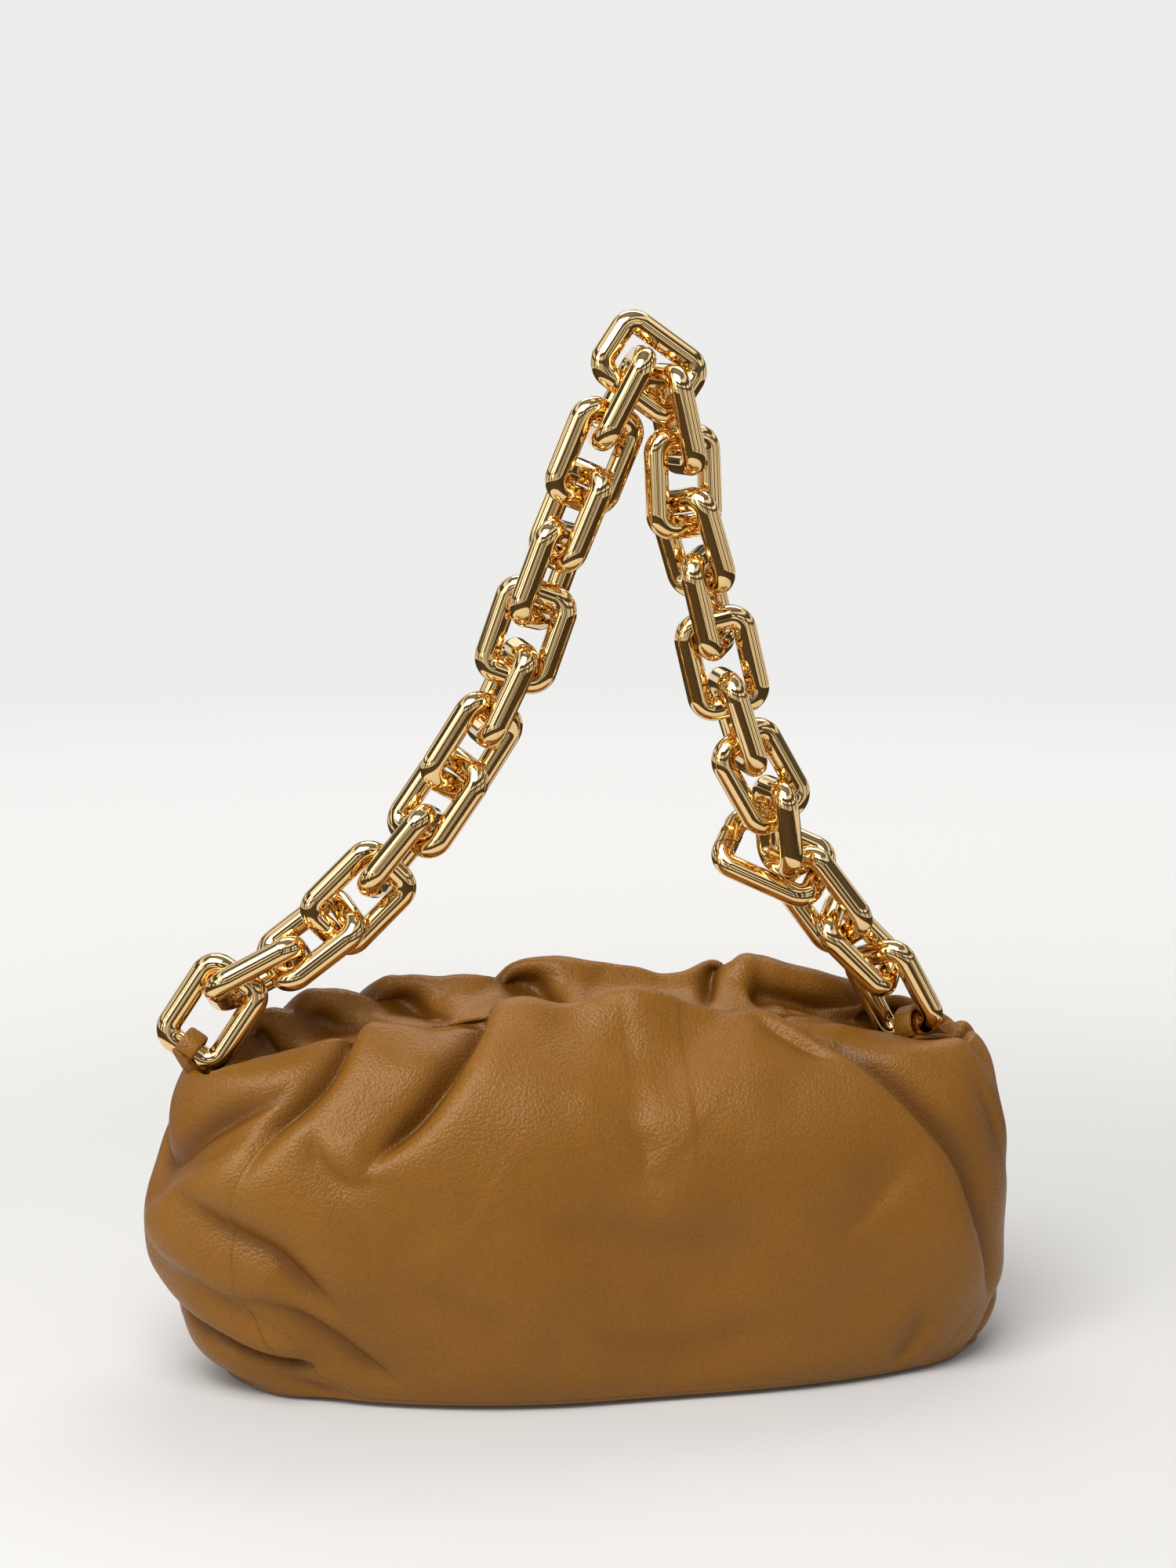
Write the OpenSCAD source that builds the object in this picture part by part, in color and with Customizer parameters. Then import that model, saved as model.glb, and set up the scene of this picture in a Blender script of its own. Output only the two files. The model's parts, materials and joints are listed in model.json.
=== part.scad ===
// Gathered leather shoulder pouch with a chunky chain strap, standing on its flat base.
// X runs along the bag, the front faces -Y, +Z is up and the origin is in the base's middle.

/* [Bag] */
// Length of the pouch from end to end
bag_length = 320; // [280:1:360]
// Height of the pouch up to its rear ridge
bag_height = 150; // [130:1:170]
// Depth of the pouch at its belly
bag_depth = 124; // [112:1:140]

/* [Leather] */
// Thickness of the doubled leather
leather = 3; // [2.4:0.1:3.4]
// Gap between the fixed leather and the front panel that swings inside it
slide_gap = 2.4; // [2.1:0.1:3]

/* [Chain] */
// Thickness of the chain's wire
wire = 9; // [8:0.25:10]
// Gap left between two wires that hold each other
play = 0.5; // [0.4:0.05:0.7]

/* [Clasp] */
// Diameter of the pin that the clasp's gate turns on
gate_pin_d = 2; // [1.6:0.1:2.4]
// Thickness of the gate's tongue between its two cheeks
gate_tongue = 3; // [2.4:0.1:3.6]

/* [Mouth frame] */
// Thickness of each flat frame band
frame_t = 2.5; // [2:0.1:3]
// Width of each frame band
frame_band = 8; // [7.5:0.25:10]
// Diameter of the two pins that the frame turns on
pin_d = 4; // [3:0.25:5]
// Diameter of the magnets in the frame
magnet_d = 6; // [4:0.25:6.5]
// Thickness of the magnets
magnet_t = 1.5; // [1:0.1:1.6]

/* [Tabs] */
// Thickness of the tab leather
tab_t = 2.5; // [2:0.1:3]
// Width of a tab where it goes round the ring
tab_w = 7; // [5:0.25:8]
// Diameter of the rivets that hold the tabs
rivet_d = 3.5; // [3:0.1:4.5]

/* [Lining and inside] */
// Thickness of the lining
lining_t = 1.2; // [0.8:0.1:1.3]
// Thickness of the stiff board in the base
board_t = 2.5; // [1.5:0.1:4]
// Width of the slip pocket
pocket_w = 150; // [110:1:160]
// Height of the slip pocket
pocket_h = 54; // [40:1:60]

/* [Hidden] */
round_fn = 48;
// How far a cut runs past the face it opens
over = 1;
// Clearance of pieces that lie loose beside each other
loose = 0.4;
// Clearance of a skin that lies on another skin
skin_gap = 0.3;
// Clearance of a pin or rivet in its hole, across the diameter
fit = 0.2;

// The pouch: an arched top about the frame's axis over a belly with a flat foot
half_length = bag_length / 2;
half_depth = bag_depth / 2;
top_share = 0.435;
top_radius = top_share * bag_depth;
axis_z = bag_height - top_radius;
plan_power = 3;
foot_power = 8;
station_shares = [-0.998, -0.98, -0.95, -0.91, -0.85, -0.77, -0.67, -0.54, -0.38, -0.2,
    0, 0.2, 0.38, 0.54, 0.67, 0.77, 0.85, 0.91, 0.95, 0.98, 0.998];
side_height_shares = [0, 0.03, 0.1, 0.22, 0.38, 0.55, 0.72, 0.87];
side_depth_shares = [0.76, 0.84, 0.9, 0.95, 0.985, 1, 0.975, 0.925];
arch_step = 15;

function round_end(share, power) = pow(max(0, 1 - pow(abs(share), power)), 1 / power);
function arch_at(x, inset = 0) = (top_radius - inset) * round_end(x / (half_length - inset), plan_power);

function section(share, inset) = let (
    x = share * (half_length - inset),
    plan = round_end(share, plan_power),
    radius = (top_radius - inset) * plan,
    depth = (half_depth - inset) * plan,
    drop = (axis_z - inset) * round_end(share, foot_power),
    last = len(side_height_shares) - 1
) concat(
    [for (a = [0:arch_step:180]) [x, radius * cos(a), axis_z + radius * sin(a)]],
    [for (i = [last:-1:0]) [x, -depth * side_depth_shares[i], axis_z - drop * (1 - side_height_shares[i])]],
    [for (i = [0:last]) [x, depth * side_depth_shares[i], axis_z - drop * (1 - side_height_shares[i])]]
);

module skinned(rings) {
    n = len(rings[0]);
    last = len(rings) - 1;
    points = [for (ring = rings) each ring];
    sides = [for (j = [0:last - 1]) for (i = [0:n - 1]) let (k = (i + 1) % n) each
        [[j * n + k, j * n + i, (j + 1) * n + k], [(j + 1) * n + k, j * n + i, (j + 1) * n + i]]];
    caps = [for (i = [1:n - 2]) each [[i + 1, 0, i], [last * n + i, last * n, last * n + i + 1]]];
    polyhedron(points, concat(sides, caps), convexity = 6);
}

module pouch_solid(inset = 0) {
    skinned([for (share = station_shares) section(share, inset)]);
}

module pouch_skin(inset, thickness) {
    difference() {
        pouch_solid(inset);
        pouch_solid(inset + thickness);
    }
}

// The mouth frame: two arched bands side by side that meet at the bag's middle plane
frame_half_share = 0.7375;
frame_half = frame_half_share * half_length;
frame_height = top_radius - slide_gap - 4 * leather - over;
frame_power = 2.3;
frame_seam = skin_gap / 2;
lug_radius_share = 1.5;
lug_radius = lug_radius_share * pin_d;
rear_lug_x = frame_half - frame_t - loose / 2;
front_lug_x = frame_half + loose / 2;
head_t_share = 0.35;
pin_head_t = head_t_share * pin_d;
pin_head_r = pin_d;
frame_out = front_lug_x + frame_t;
panel_half = rear_lug_x - pin_head_t - 2 * loose;
band_step = 24;

function arch_z(x, half, height) = axis_z + height * round_end(x / half, frame_power);

module arch_outline(half, height) {
    polygon([for (a = [0:180 / band_step:180])
        let (c = cos(a), s = sin(a), power = 2 / frame_power)
        [half * sign(c) * pow(abs(c), power), height * pow(abs(s), power)]]);
}

module band(y_from) {
    translate([0, y_from + frame_t, axis_z])
    rotate([90, 0, 0])
    linear_extrude(frame_t)
    difference() {
        arch_outline(frame_out, frame_height);
        arch_outline(frame_out - frame_band, frame_height - frame_band);
    }
}

module along_x(x_from, length, radius) {
    translate([x_from, 0, axis_z])
    rotate([0, 90, 0])
    cylinder(h = length, r = radius, $fn = round_fn);
}

module along_y(place, y_from, length, radius) {
    translate([place[0], y_from, place[1]])
    rotate([-90, 0, 0])
    cylinder(h = length, r = radius, $fn = round_fn);
}

module both_ends() {
    children();
    mirror([1, 0, 0])
    children();
}

// Rings and tabs: where the lower bar of each end ring lies, and where its tab is riveted
ring_x_shares = [-0.947, 0.8];
ring_z_shares = [0.5735, 0.4808];
rivet_x_shares = [-0.931, 0.87];
ring_bar_at = [for (i = [0, 1])
    [ring_x_shares[i] * half_length, 0, axis_z + ring_z_shares[i] * top_radius]];
ear_half_share = 1;
ear_half = ear_half_share * rivet_d;
ear_z = axis_z + lug_radius + loose + ear_half;
rivet_at = [for (i = [0, 1]) [rivet_x_shares[i] * half_length, ear_z]];
tab_ease = 0.9;
// How much finer a leg of the tab is than the loop that it runs into
tab_trim = 0.1;
tab_pad_share = 1.6;
tab_pad = tab_pad_share * rivet_d;
rivet_head_t = head_t_share * rivet_d;

// Links: rounded rectangles of round wire
link_length_share = 4.667;
link_width_share = 3.5;
clasp_length_share = 5.111;
short_length_share = 4.2;
corner_share = 0.622;
link_half = (link_length_share - 1) * wire / 2;
link_half_w = (link_width_share - 1) * wire / 2;
clasp_half = (clasp_length_share - 1) * wire / 2;
short_half = (short_length_share - 1) * wire / 2;
corner = corner_share * wire;
hold = wire + play;

// Each link's heading above +X in the strap's plane, and its roll about its own length
left_headings = [56, 26, 36, 44, 50, 55, 57, 64, 70, 69, 67, 67, 62];
left_rolls = [-14, 58, 121, 2, 67, 129, 25, 96, -14, 50, 116, 16, 86];
top_heading = 144;
top_roll = 10;
right_headings = [118, 134, 125, 156, 96, 119, 107, 103, 103, 106, 92, 102];
right_rolls = [-44, 54, -46, 33, -81, 18, -88, -4, 62, -54, 18, 101];
right_tilts = [0, 0, 16, 20, 0, 0, 0, 0, 0, 0, 0, 0];
left_last = len(left_headings) - 1;
right_last = len(right_headings) - 1;
clasp_index = 3;
short_index = 4;
// Where the neighbours sit in the top link and in the clasp, as shares of the wire
slip_share = 0.089;
top_left_shares = [0.467, -0.133];
top_right_shares = [-0.8, -0.133];
clasp_low_shares = [-0.922, -0.078];
clasp_high_shares = [0.067, -0.044];
clasp_back_share = 1.467;

function dir_u(h, t = 0) = [cos(h) * cos(t), sin(t), sin(h) * cos(t)];
function dir_v(h, r, t = 0) = [-sin(h), 0, cos(h)] * cos(r)
    + [sin(t) * cos(h), -cos(t), sin(t) * sin(h)] * sin(r);
function flat(p, y = 0) = [p[0], y, p[2]];
function turned(p, a) = [p[0] * cos(a) - p[2] * sin(a), p[1], p[0] * sin(a) + p[2] * cos(a)];
function heading_of(p) = atan2(p[2], p[0]);
function next_at(c, u0, half0, u1, half1) = let (both = u0 + u1, bend = acos(min(1, u0 * u1)) / 2)
    c + half0 * u0 - hold / cos(bend) * both / norm(both) + half1 * u1;

function left_u(i) = dir_u(left_headings[i]);
function right_u(i) = dir_u(right_headings[i], right_tilts[i]);
function right_v(i) = dir_v(right_headings[i], right_rolls[i], right_tilts[i]);
function right_half(i) = i == clasp_index ? clasp_half : i == short_index ? short_half : link_half;

// Centres of the links as the two strands are laid from their rings, before they are turned
function left_laid(i) = i == 0 ? ring_bar_at[0] + link_half * left_u(0)
    : next_at(left_laid(i - 1), left_u(i - 1), link_half, left_u(i), link_half)
    + (i == 1 ? slip_share * wire * [left_u(0)[2], 0, -left_u(0)[0]] : [0, 0, 0]);
function right_laid(i) = i == 0 ? ring_bar_at[1] + link_half * right_u(0)
    : i == clasp_index ? flat(right_laid(i - 1) + link_half * right_u(i - 1)
        - wire * (clasp_low_shares[0] * right_u(i) + clasp_low_shares[1] * right_v(i)),
        clasp_back_share * wire)
    : i == short_index ? flat(right_laid(i - 1)
        + wire * (clasp_high_shares[0] * right_u(i - 1) + clasp_high_shares[1] * right_v(i - 1)))
        + short_half * right_u(i)
    : next_at(right_laid(i - 1), right_u(i - 1), right_half(i - 1), right_u(i), right_half(i));

top_u = dir_u(top_heading);
top_v = dir_v(top_heading, top_roll);
top_laid = flat(left_laid(left_last) + link_half * left_u(left_last)
    - wire * (top_left_shares[0] * top_u + top_left_shares[1] * top_v));

// The two strands are turned about their rings' upper bars until they meet in the top link
left_pivot = left_laid(0) + link_half * left_u(0);
right_pivot = right_laid(0) + link_half * right_u(0);
left_leg = flat(top_laid + wire * (top_right_shares[0] * top_u + top_right_shares[1] * top_v) - left_pivot);
right_leg = flat(right_laid(right_last) + link_half * right_u(right_last) - right_pivot);
span = right_pivot - left_pivot;
left_reach = norm(left_leg);
right_reach = norm(right_leg);
left_corner = acos((left_reach * left_reach + span * span - right_reach * right_reach)
    / (2 * left_reach * norm(span)));
right_corner = acos((right_reach * right_reach + span * span - left_reach * left_reach)
    / (2 * right_reach * norm(span)));
left_turn = heading_of(span) + left_corner - heading_of(left_leg);
right_turn = heading_of(span) + 180 - right_corner - heading_of(right_leg);

module placed(at, pivot, turn, heading, roll, tilt = 0) {
    translate(pivot + turned(at - pivot, turn))
    rotate([0, -heading - turn, 0])
    rotate([90 + roll, 0, tilt])
    children();
}

module in_left(i) {
    placed(left_laid(i), left_pivot, i == 0 ? 0 : left_turn, left_headings[i], left_rolls[i])
    children();
}

module in_right(i) {
    placed(right_laid(i), right_pivot, i == 0 ? 0 : right_turn,
        right_headings[i], right_rolls[i], right_tilts[i])
    children();
}

module wire_link(half_l, half_w = link_half_w) {
    side_l = half_l - corner;
    side_w = half_w - corner;
    for (s = [-1, 1]) {
        translate([0, s * half_w, 0])
        rotate([0, 90, 0])
        cylinder(h = 2 * side_l, d = wire, center = true, $fn = round_fn);
        translate([s * half_l, 0, 0])
        rotate([90, 0, 0])
        cylinder(h = 2 * side_w, d = wire, center = true, $fn = round_fn);
        for (t = [-1, 1]) {
            translate([s * side_l, t * side_w, 0])
            rotate([0, 0, s > 0 ? (t > 0 ? 0 : -90) : (t > 0 ? 90 : 180)])
            rotate_extrude(angle = 90, $fn = round_fn)
            translate([corner, 0])
            circle(d = wire, $fn = round_fn);
        }
    }
}

module gold() {
    color([0.86, 0.74, 0.53])
    children();
}

module hide() {
    color([0.52, 0.35, 0.15])
    children();
}

module cloth() {
    color([0.36, 0.26, 0.17])
    children();
}

module steel() {
    color([0.62, 0.6, 0.57])
    children();
}

// The slots at the bag's two ends, through which the rings and tabs come out
slot_wide_share = 1.45;
slot_left_share = 3.3;
slot_right_share = 3.1;
slot_out_share = 2.2;
slot_deeper_share = 1.4;
slot_floor = axis_z + lug_radius + loose;

module end_slots(room = 0) {
    half_y = slot_wide_share * wire + room;
    left_to = ring_bar_at[0][0] + slot_left_share * wire + room;
    right_from = ring_bar_at[1][0] - slot_right_share * wire - room;
    right_to = ring_bar_at[1][0] + slot_out_share * wire + room;
    translate([-half_length - over, -half_y, slot_floor - room])
    cube([left_to + half_length + over, 2 * half_y, bag_height]);
    translate([right_from, -half_y * slot_deeper_share, slot_floor - room])
    cube([right_to - right_from, 2 * half_y * slot_deeper_share, bag_height]);
}

// The mouth window in the fixed leather, which the swinging front panel fills
lip_drop = leather;
lip_z = axis_z - lip_drop;
mouth_edge = -frame_seam - frame_t / 2;

module mouth_window(room = 0) {
    half_x = panel_half + slide_gap / 2 + room;
    translate([-half_x, -bag_depth, lip_z - room])
    cube([2 * half_x, bag_depth + mouth_edge + room, bag_height]);
}

module hem(y_from, y_to, outer_inset) {
    steps = 24;
    half_x = panel_half - lug_radius / 2;
    xs = [for (i = [0:steps]) -half_x + 2 * half_x * i / steps];
    translate([0, y_to, 0])
    rotate([90, 0, 0])
    linear_extrude(y_to - y_from)
    polygon(concat(
        [for (x = xs) [x, axis_z + arch_at(x, outer_inset)]],
        [for (i = [steps:-1:0]) [xs[i], arch_z(xs[i], frame_out - frame_band, frame_height - frame_band)]]));
}

module leather_shell() {
    hide()
    difference() {
        union() {
            difference() {
                pouch_skin(0, leather);
                mouth_window();
            }
            hem(frame_seam + frame_t, frame_seam + frame_t + leather - over / 2, leather / 2);
        }
        end_slots();
    }
}

panel_inset = leather + slide_gap;
panel_from = 2;
panel_to = 100;

module front_panel() {
    steps = 14;
    xs = [for (i = [0:steps]) -panel_half + 2 * panel_half * i / steps];
    outer = [for (x = xs) arch_at(x) - panel_inset * round_end(x / half_length, plan_power)];
    hide()
    difference() {
        union() {
            translate([0, 0, axis_z])
            rotate([0, 90, 0])
            rotate([0, 0, 180 + panel_from])
            rotate_extrude(angle = panel_to - panel_from, $fn = 2 * round_fn)
            polygon(concat(
                [for (i = [0:steps]) [outer[i], xs[i]]],
                [for (i = [steps:-1:0]) [outer[i] - leather, xs[i]]]));
            hem(-frame_seam - frame_t - leather + over / 2, -frame_seam - frame_t,
                panel_inset + leather / 2);
        }
        end_slots();
    }
}

module lining_mouth() {
    translate([-panel_half, -bag_depth, lip_z])
    cube([2 * panel_half, bag_depth + frame_seam + frame_t + 2 * leather, bag_height]);
}

module lining() {
    cloth()
    difference() {
        pouch_skin(leather + skin_gap, lining_t);
        mouth_window(leather);
        end_slots(over);
        lining_mouth();
    }
}

inner_inset = leather + skin_gap + lining_t;
board_length_share = 0.54;
board_depth_share = 0.6;

module base_board() {
    half_x = board_length_share * half_length;
    half_y = board_depth_share * half_depth;
    round_r = half_y / 2;
    color([0.3, 0.27, 0.23])
    translate([0, 0, inner_inset + skin_gap])
    union() {
        translate([-half_x + round_r, -half_y, 0])
        cube([2 * (half_x - round_r), 2 * half_y, board_t]);
        translate([-half_x, -half_y + round_r, 0])
        cube([2 * half_x, 2 * (half_y - round_r), board_t]);
        for (sx = [-1, 1]) {
            for (sy = [-1, 1]) {
                translate([sx * (half_x - round_r), sy * (half_y - round_r), 0])
                cylinder(h = board_t, r = round_r, $fn = round_fn);
            }
        }
    }
}

pocket_floor_share = 0.28;
pocket_floor = pocket_floor_share * axis_z;
pocket_inset = inner_inset + skin_gap;

module pocket_block(margin) {
    translate([-pocket_w / 2 + margin, 0, pocket_floor + margin])
    cube([pocket_w - 2 * margin, bag_depth, pocket_h]);
}

module slip_pocket() {
    cloth()
    difference() {
        intersection() {
            pouch_skin(pocket_inset, 2 * lining_t);
            pocket_block(0);
            translate([-bag_length, 0, 0])
            cube([2 * bag_length, bag_depth, pocket_floor + pocket_h]);
        }
        intersection() {
            pouch_skin(pocket_inset - over, lining_t + over);
            pocket_block(2 * lining_t);
        }
    }
}

magnet_x_share = 0.2;

module magnet_pockets(y_from) {
    for (x = [-1, 1] * magnet_x_share * half_length) {
        along_y([x, arch_z(x, frame_out - frame_band / 2, frame_height - frame_band / 2)],
            y_from, magnet_t + over, (magnet_d + fit) / 2);
    }
}

module frame_half_body(y_from, lug_x, other_lug_x) {
    difference() {
        union() {
            difference() {
                band(y_from);
                both_ends()
                along_x(other_lug_x - loose, frame_t + 2 * loose, lug_radius + loose);
                both_ends()
                along_x(panel_half, rear_lug_x - panel_half, pin_head_r + loose);
            }
            both_ends()
            along_x(lug_x, frame_t, lug_radius);
            children();
        }
        both_ends()
        along_x(rear_lug_x - over, 2 * frame_t + 2 * over + loose, (pin_d + fit) / 2);
    }
}

module ear(i) {
    side = i == 0 ? -1 : 1;
    from_x = side * (rear_lug_x - frame_band);
    length = abs(rivet_at[i][0] - from_x);
    translate([min(from_x, rivet_at[i][0]), frame_seam, ear_z - ear_half])
    cube([length, frame_t, 2 * ear_half]);
    along_y(rivet_at[i], frame_seam, frame_t, ear_half);
}

module rear_frame() {
    steel()
    difference() {
        frame_half_body(frame_seam, rear_lug_x, front_lug_x) {
            ear(0);
            ear(1);
        }
        for (i = [0, 1]) {
            along_y(rivet_at[i], -over, frame_t + 2 * over, (rivet_d + fit) / 2);
        }
        magnet_pockets(frame_seam - over);
    }
}

module front_frame() {
    steel()
    difference() {
        frame_half_body(-frame_seam - frame_t, front_lug_x, rear_lug_x);
        magnet_pockets(-frame_seam - magnet_t);
    }
}

module pivot_pins() {
    shank = frame_out - rear_lug_x + 2 * loose + pin_head_t;
    steel()
    both_ends()
    union() {
        along_x(rear_lug_x - loose - pin_head_t, pin_head_t, pin_head_r);
        along_x(rear_lug_x - loose - pin_head_t / 2, shank, pin_d / 2);
        along_x(frame_out + loose, pin_head_t, pin_head_r);
    }
}

module magnets(y_from) {
    color([0.45, 0.45, 0.47])
    for (x = [-1, 1] * magnet_x_share * half_length) {
        along_y([x, arch_z(x, frame_out - frame_band / 2, frame_height - frame_band / 2)],
            y_from, magnet_t, magnet_d / 2);
    }
}

// A tab is folded over the ring's lower bar and riveted through both its layers and the frame's ear
module tab_leg(i, side) {
    pad_y = side < 0 ? frame_seam - tab_t : frame_seam + frame_t;
    leg_t = tab_t - 2 * tab_trim;
    leg_w = tab_w - 2 * tab_trim;
    hull() {
        at_ring_bar(i)
        translate([-wire / 3, -leg_w / 2, -side * (wire / 2 + tab_ease + tab_t / 2) - leg_t / 2])
        cube([wire / 2, leg_w, leg_t]);
        translate([rivet_at[i][0] - tab_w / 2, pad_y, rivet_at[i][1] + rivet_d + tab_trim])
        cube([tab_w, tab_t, tab_trim]);
    }
    along_y(rivet_at[i], pad_y, tab_t, tab_pad);
}

module at_ring_bar(i) {
    translate(ring_bar_at[i])
    rotate([0, -(i == 0 ? left_headings[0] : right_headings[0]), 0])
    rotate([90 + (i == 0 ? left_rolls[0] : right_rolls[0]), 0, 0])
    children();
}

module tab(i) {
    hide()
    difference() {
        union() {
            difference() {
                at_ring_bar(i)
                rotate([90, 0, 0])
                cylinder(h = tab_w, r = wire / 2 + tab_ease + tab_t, center = true, $fn = round_fn);
                at_ring_bar(i)
                translate([-2 * wire, -tab_w, -2 * wire])
                cube([2 * wire, 2 * tab_w, 4 * wire]);
            }
            tab_leg(i, -1);
            tab_leg(i, 1);
        }
        at_ring_bar(i)
        rotate([90, 0, 0])
        cylinder(h = 4 * tab_w, r = wire / 2 + tab_ease, center = true, $fn = round_fn);
        along_y(rivet_at[i], -wire, 2 * wire, (rivet_d + fit) / 2);
    }
}

module tab_rivets() {
    layers = 2 * tab_t + frame_t;
    from_y = frame_seam - tab_t;
    gold()
    for (i = [0, 1]) {
        along_y(rivet_at[i], from_y - rivet_head_t, rivet_head_t, rivet_d);
        along_y(rivet_at[i], from_y - rivet_head_t / 2, layers + rivet_head_t, rivet_d / 2);
        along_y(rivet_at[i], from_y + layers, rivet_head_t, rivet_d);
    }
}

module top_link() {
    gold()
    placed(top_laid, left_pivot, left_turn, top_heading, top_roll)
    wire_link(link_half);
}

module connecting_link() {
    gold()
    in_right(short_index)
    wire_link(short_half);
}

// The clasp: a link whose far end bar is a gate on a pin, opening outwards
gate_foot_share = 0.4;
gate_seam_share = 0.8;
gate_knuckle_share = 0.36;
gate_open = 30;
// Slant of the seam at the gate's free end, steep enough to let it swing outwards
seam_slant = 25;
gate_hinge = [clasp_half, -link_half_w + corner];
gate_shoulder = gate_foot_share * wire;
gate_knuckle = gate_knuckle_share * wire;
gate_length = gate_seam_share * 2 * (link_half_w - corner);

module on_gate_hinge() {
    translate([gate_hinge[0], gate_hinge[1], 0])
    children();
}

module below_seam(gap) {
    translate([0, gate_length + gap, 0])
    rotate([0, 0, seam_slant])
    translate([-2 * wire, -4 * wire, -wire])
    cube([4 * wire, 4 * wire, 2 * wire]);
}

module clasp_body() {
    shoulder = gate_shoulder - loose / 2;
    knuckle = gate_knuckle + loose;
    gold()
    in_right(clasp_index)
    difference() {
        wire_link(clasp_half);
        on_gate_hinge()
        intersection() {
            below_seam(loose);
            translate([-wire, shoulder, -wire])
            cube([2 * wire, 2 * gate_length, 2 * wire]);
        }
        on_gate_hinge()
        translate([0, 0, -gate_tongue / 2 - loose / 2])
        cylinder(h = gate_tongue + loose, r = knuckle, $fn = round_fn);
        on_gate_hinge()
        translate([-wire, 0, -gate_tongue / 2 - loose / 2])
        cube([2 * wire, gate_shoulder + over, gate_tongue + loose]);
        on_gate_hinge()
        cylinder(h = 2 * wire, d = gate_pin_d + fit, center = true, $fn = round_fn);
    }
}

module clasp_gate() {
    gold()
    in_right(clasp_index)
    on_gate_hinge()
    difference() {
        union() {
            intersection() {
                translate([0, gate_shoulder, 0])
                rotate([-90, 0, 0])
                cylinder(h = 2 * gate_length, d = wire, $fn = round_fn);
                below_seam(0);
            }
            translate([-gate_knuckle, 0, -gate_tongue / 2])
            cube([2 * gate_knuckle, gate_shoulder + over, gate_tongue]);
            translate([0, 0, -gate_tongue / 2])
            cylinder(h = gate_tongue, r = gate_knuckle, $fn = round_fn);
        }
        cylinder(h = 2 * wire, d = gate_pin_d + fit, center = true, $fn = round_fn);
        rotate([0, 0, gate_open])
        for (s = [-1, 1]) {
            translate([-2 * wire, gate_shoulder - 2 * wire, s > 0 ? gate_tongue / 2 : -wire])
            cube([4 * wire, 2 * wire, wire - gate_tongue / 2]);
        }
    }
}

module gate_pin() {
    gold()
    in_right(clasp_index)
    on_gate_hinge()
    cylinder(h = wire - gate_pin_d / 2, d = gate_pin_d, center = true, $fn = round_fn);
}

leather_shell();
front_panel();
lining();
base_board();
slip_pocket();
rear_frame();
front_frame();
pivot_pins();
magnets(frame_seam);  // rear_magnets
magnets(-frame_seam - magnet_t);  // front_magnets
tab(0);  // left_tab
tab(1);  // right_tab
tab_rivets();
gold() in_left(0) wire_link(link_half);  // left_ring
for (i = [1:left_last]) {
    gold() in_left(i) wire_link(link_half);
}
top_link();
for (i = [short_index + 1:right_last]) {
    gold() in_right(i) wire_link(link_half);
}
connecting_link();
clasp_body();
clasp_gate();
gate_pin();
for (i = [1, 2]) {
    gold() in_right(i) wire_link(link_half);
}
gold() in_right(0) wire_link(link_half);  // right_ring
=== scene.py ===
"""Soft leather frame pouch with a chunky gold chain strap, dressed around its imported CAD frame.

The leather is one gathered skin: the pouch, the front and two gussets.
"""
import json
import math

import bmesh
import bpy
import numpy as np
from mathutils import Matrix, Vector

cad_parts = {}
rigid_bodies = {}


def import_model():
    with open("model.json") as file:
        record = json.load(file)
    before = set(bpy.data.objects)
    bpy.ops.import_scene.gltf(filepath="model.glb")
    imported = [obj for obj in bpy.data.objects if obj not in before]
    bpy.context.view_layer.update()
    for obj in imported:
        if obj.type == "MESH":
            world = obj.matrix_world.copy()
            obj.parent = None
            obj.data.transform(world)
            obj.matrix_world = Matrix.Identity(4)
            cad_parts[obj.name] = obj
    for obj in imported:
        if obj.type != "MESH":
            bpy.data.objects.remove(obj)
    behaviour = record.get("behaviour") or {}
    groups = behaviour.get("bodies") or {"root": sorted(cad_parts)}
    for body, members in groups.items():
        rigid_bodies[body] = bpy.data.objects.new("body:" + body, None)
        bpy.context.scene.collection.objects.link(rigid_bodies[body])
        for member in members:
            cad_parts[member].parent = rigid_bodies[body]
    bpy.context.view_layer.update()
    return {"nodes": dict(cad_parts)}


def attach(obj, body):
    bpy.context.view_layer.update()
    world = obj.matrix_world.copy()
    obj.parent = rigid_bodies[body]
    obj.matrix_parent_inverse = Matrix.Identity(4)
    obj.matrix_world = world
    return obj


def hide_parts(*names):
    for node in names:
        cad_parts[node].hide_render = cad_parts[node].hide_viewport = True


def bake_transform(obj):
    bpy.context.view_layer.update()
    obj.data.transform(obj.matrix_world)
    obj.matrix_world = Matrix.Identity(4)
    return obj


bl_info = {
    "name": "Gathered Chain Pouch",
    "version": (1, 0, 0),
    "blender": (4, 5, 0),
    "location": "3D View > Sidebar > Pouch",
    "description": "Builds a gathered leather pouch, its chain strap and its studio",
    "category": "Object",
}

# What Blender starts with goes before the frame comes
for leftover in list(bpy.data.objects):
    bpy.data.objects.remove(leftover)
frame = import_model()
MM = 0.001


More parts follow.
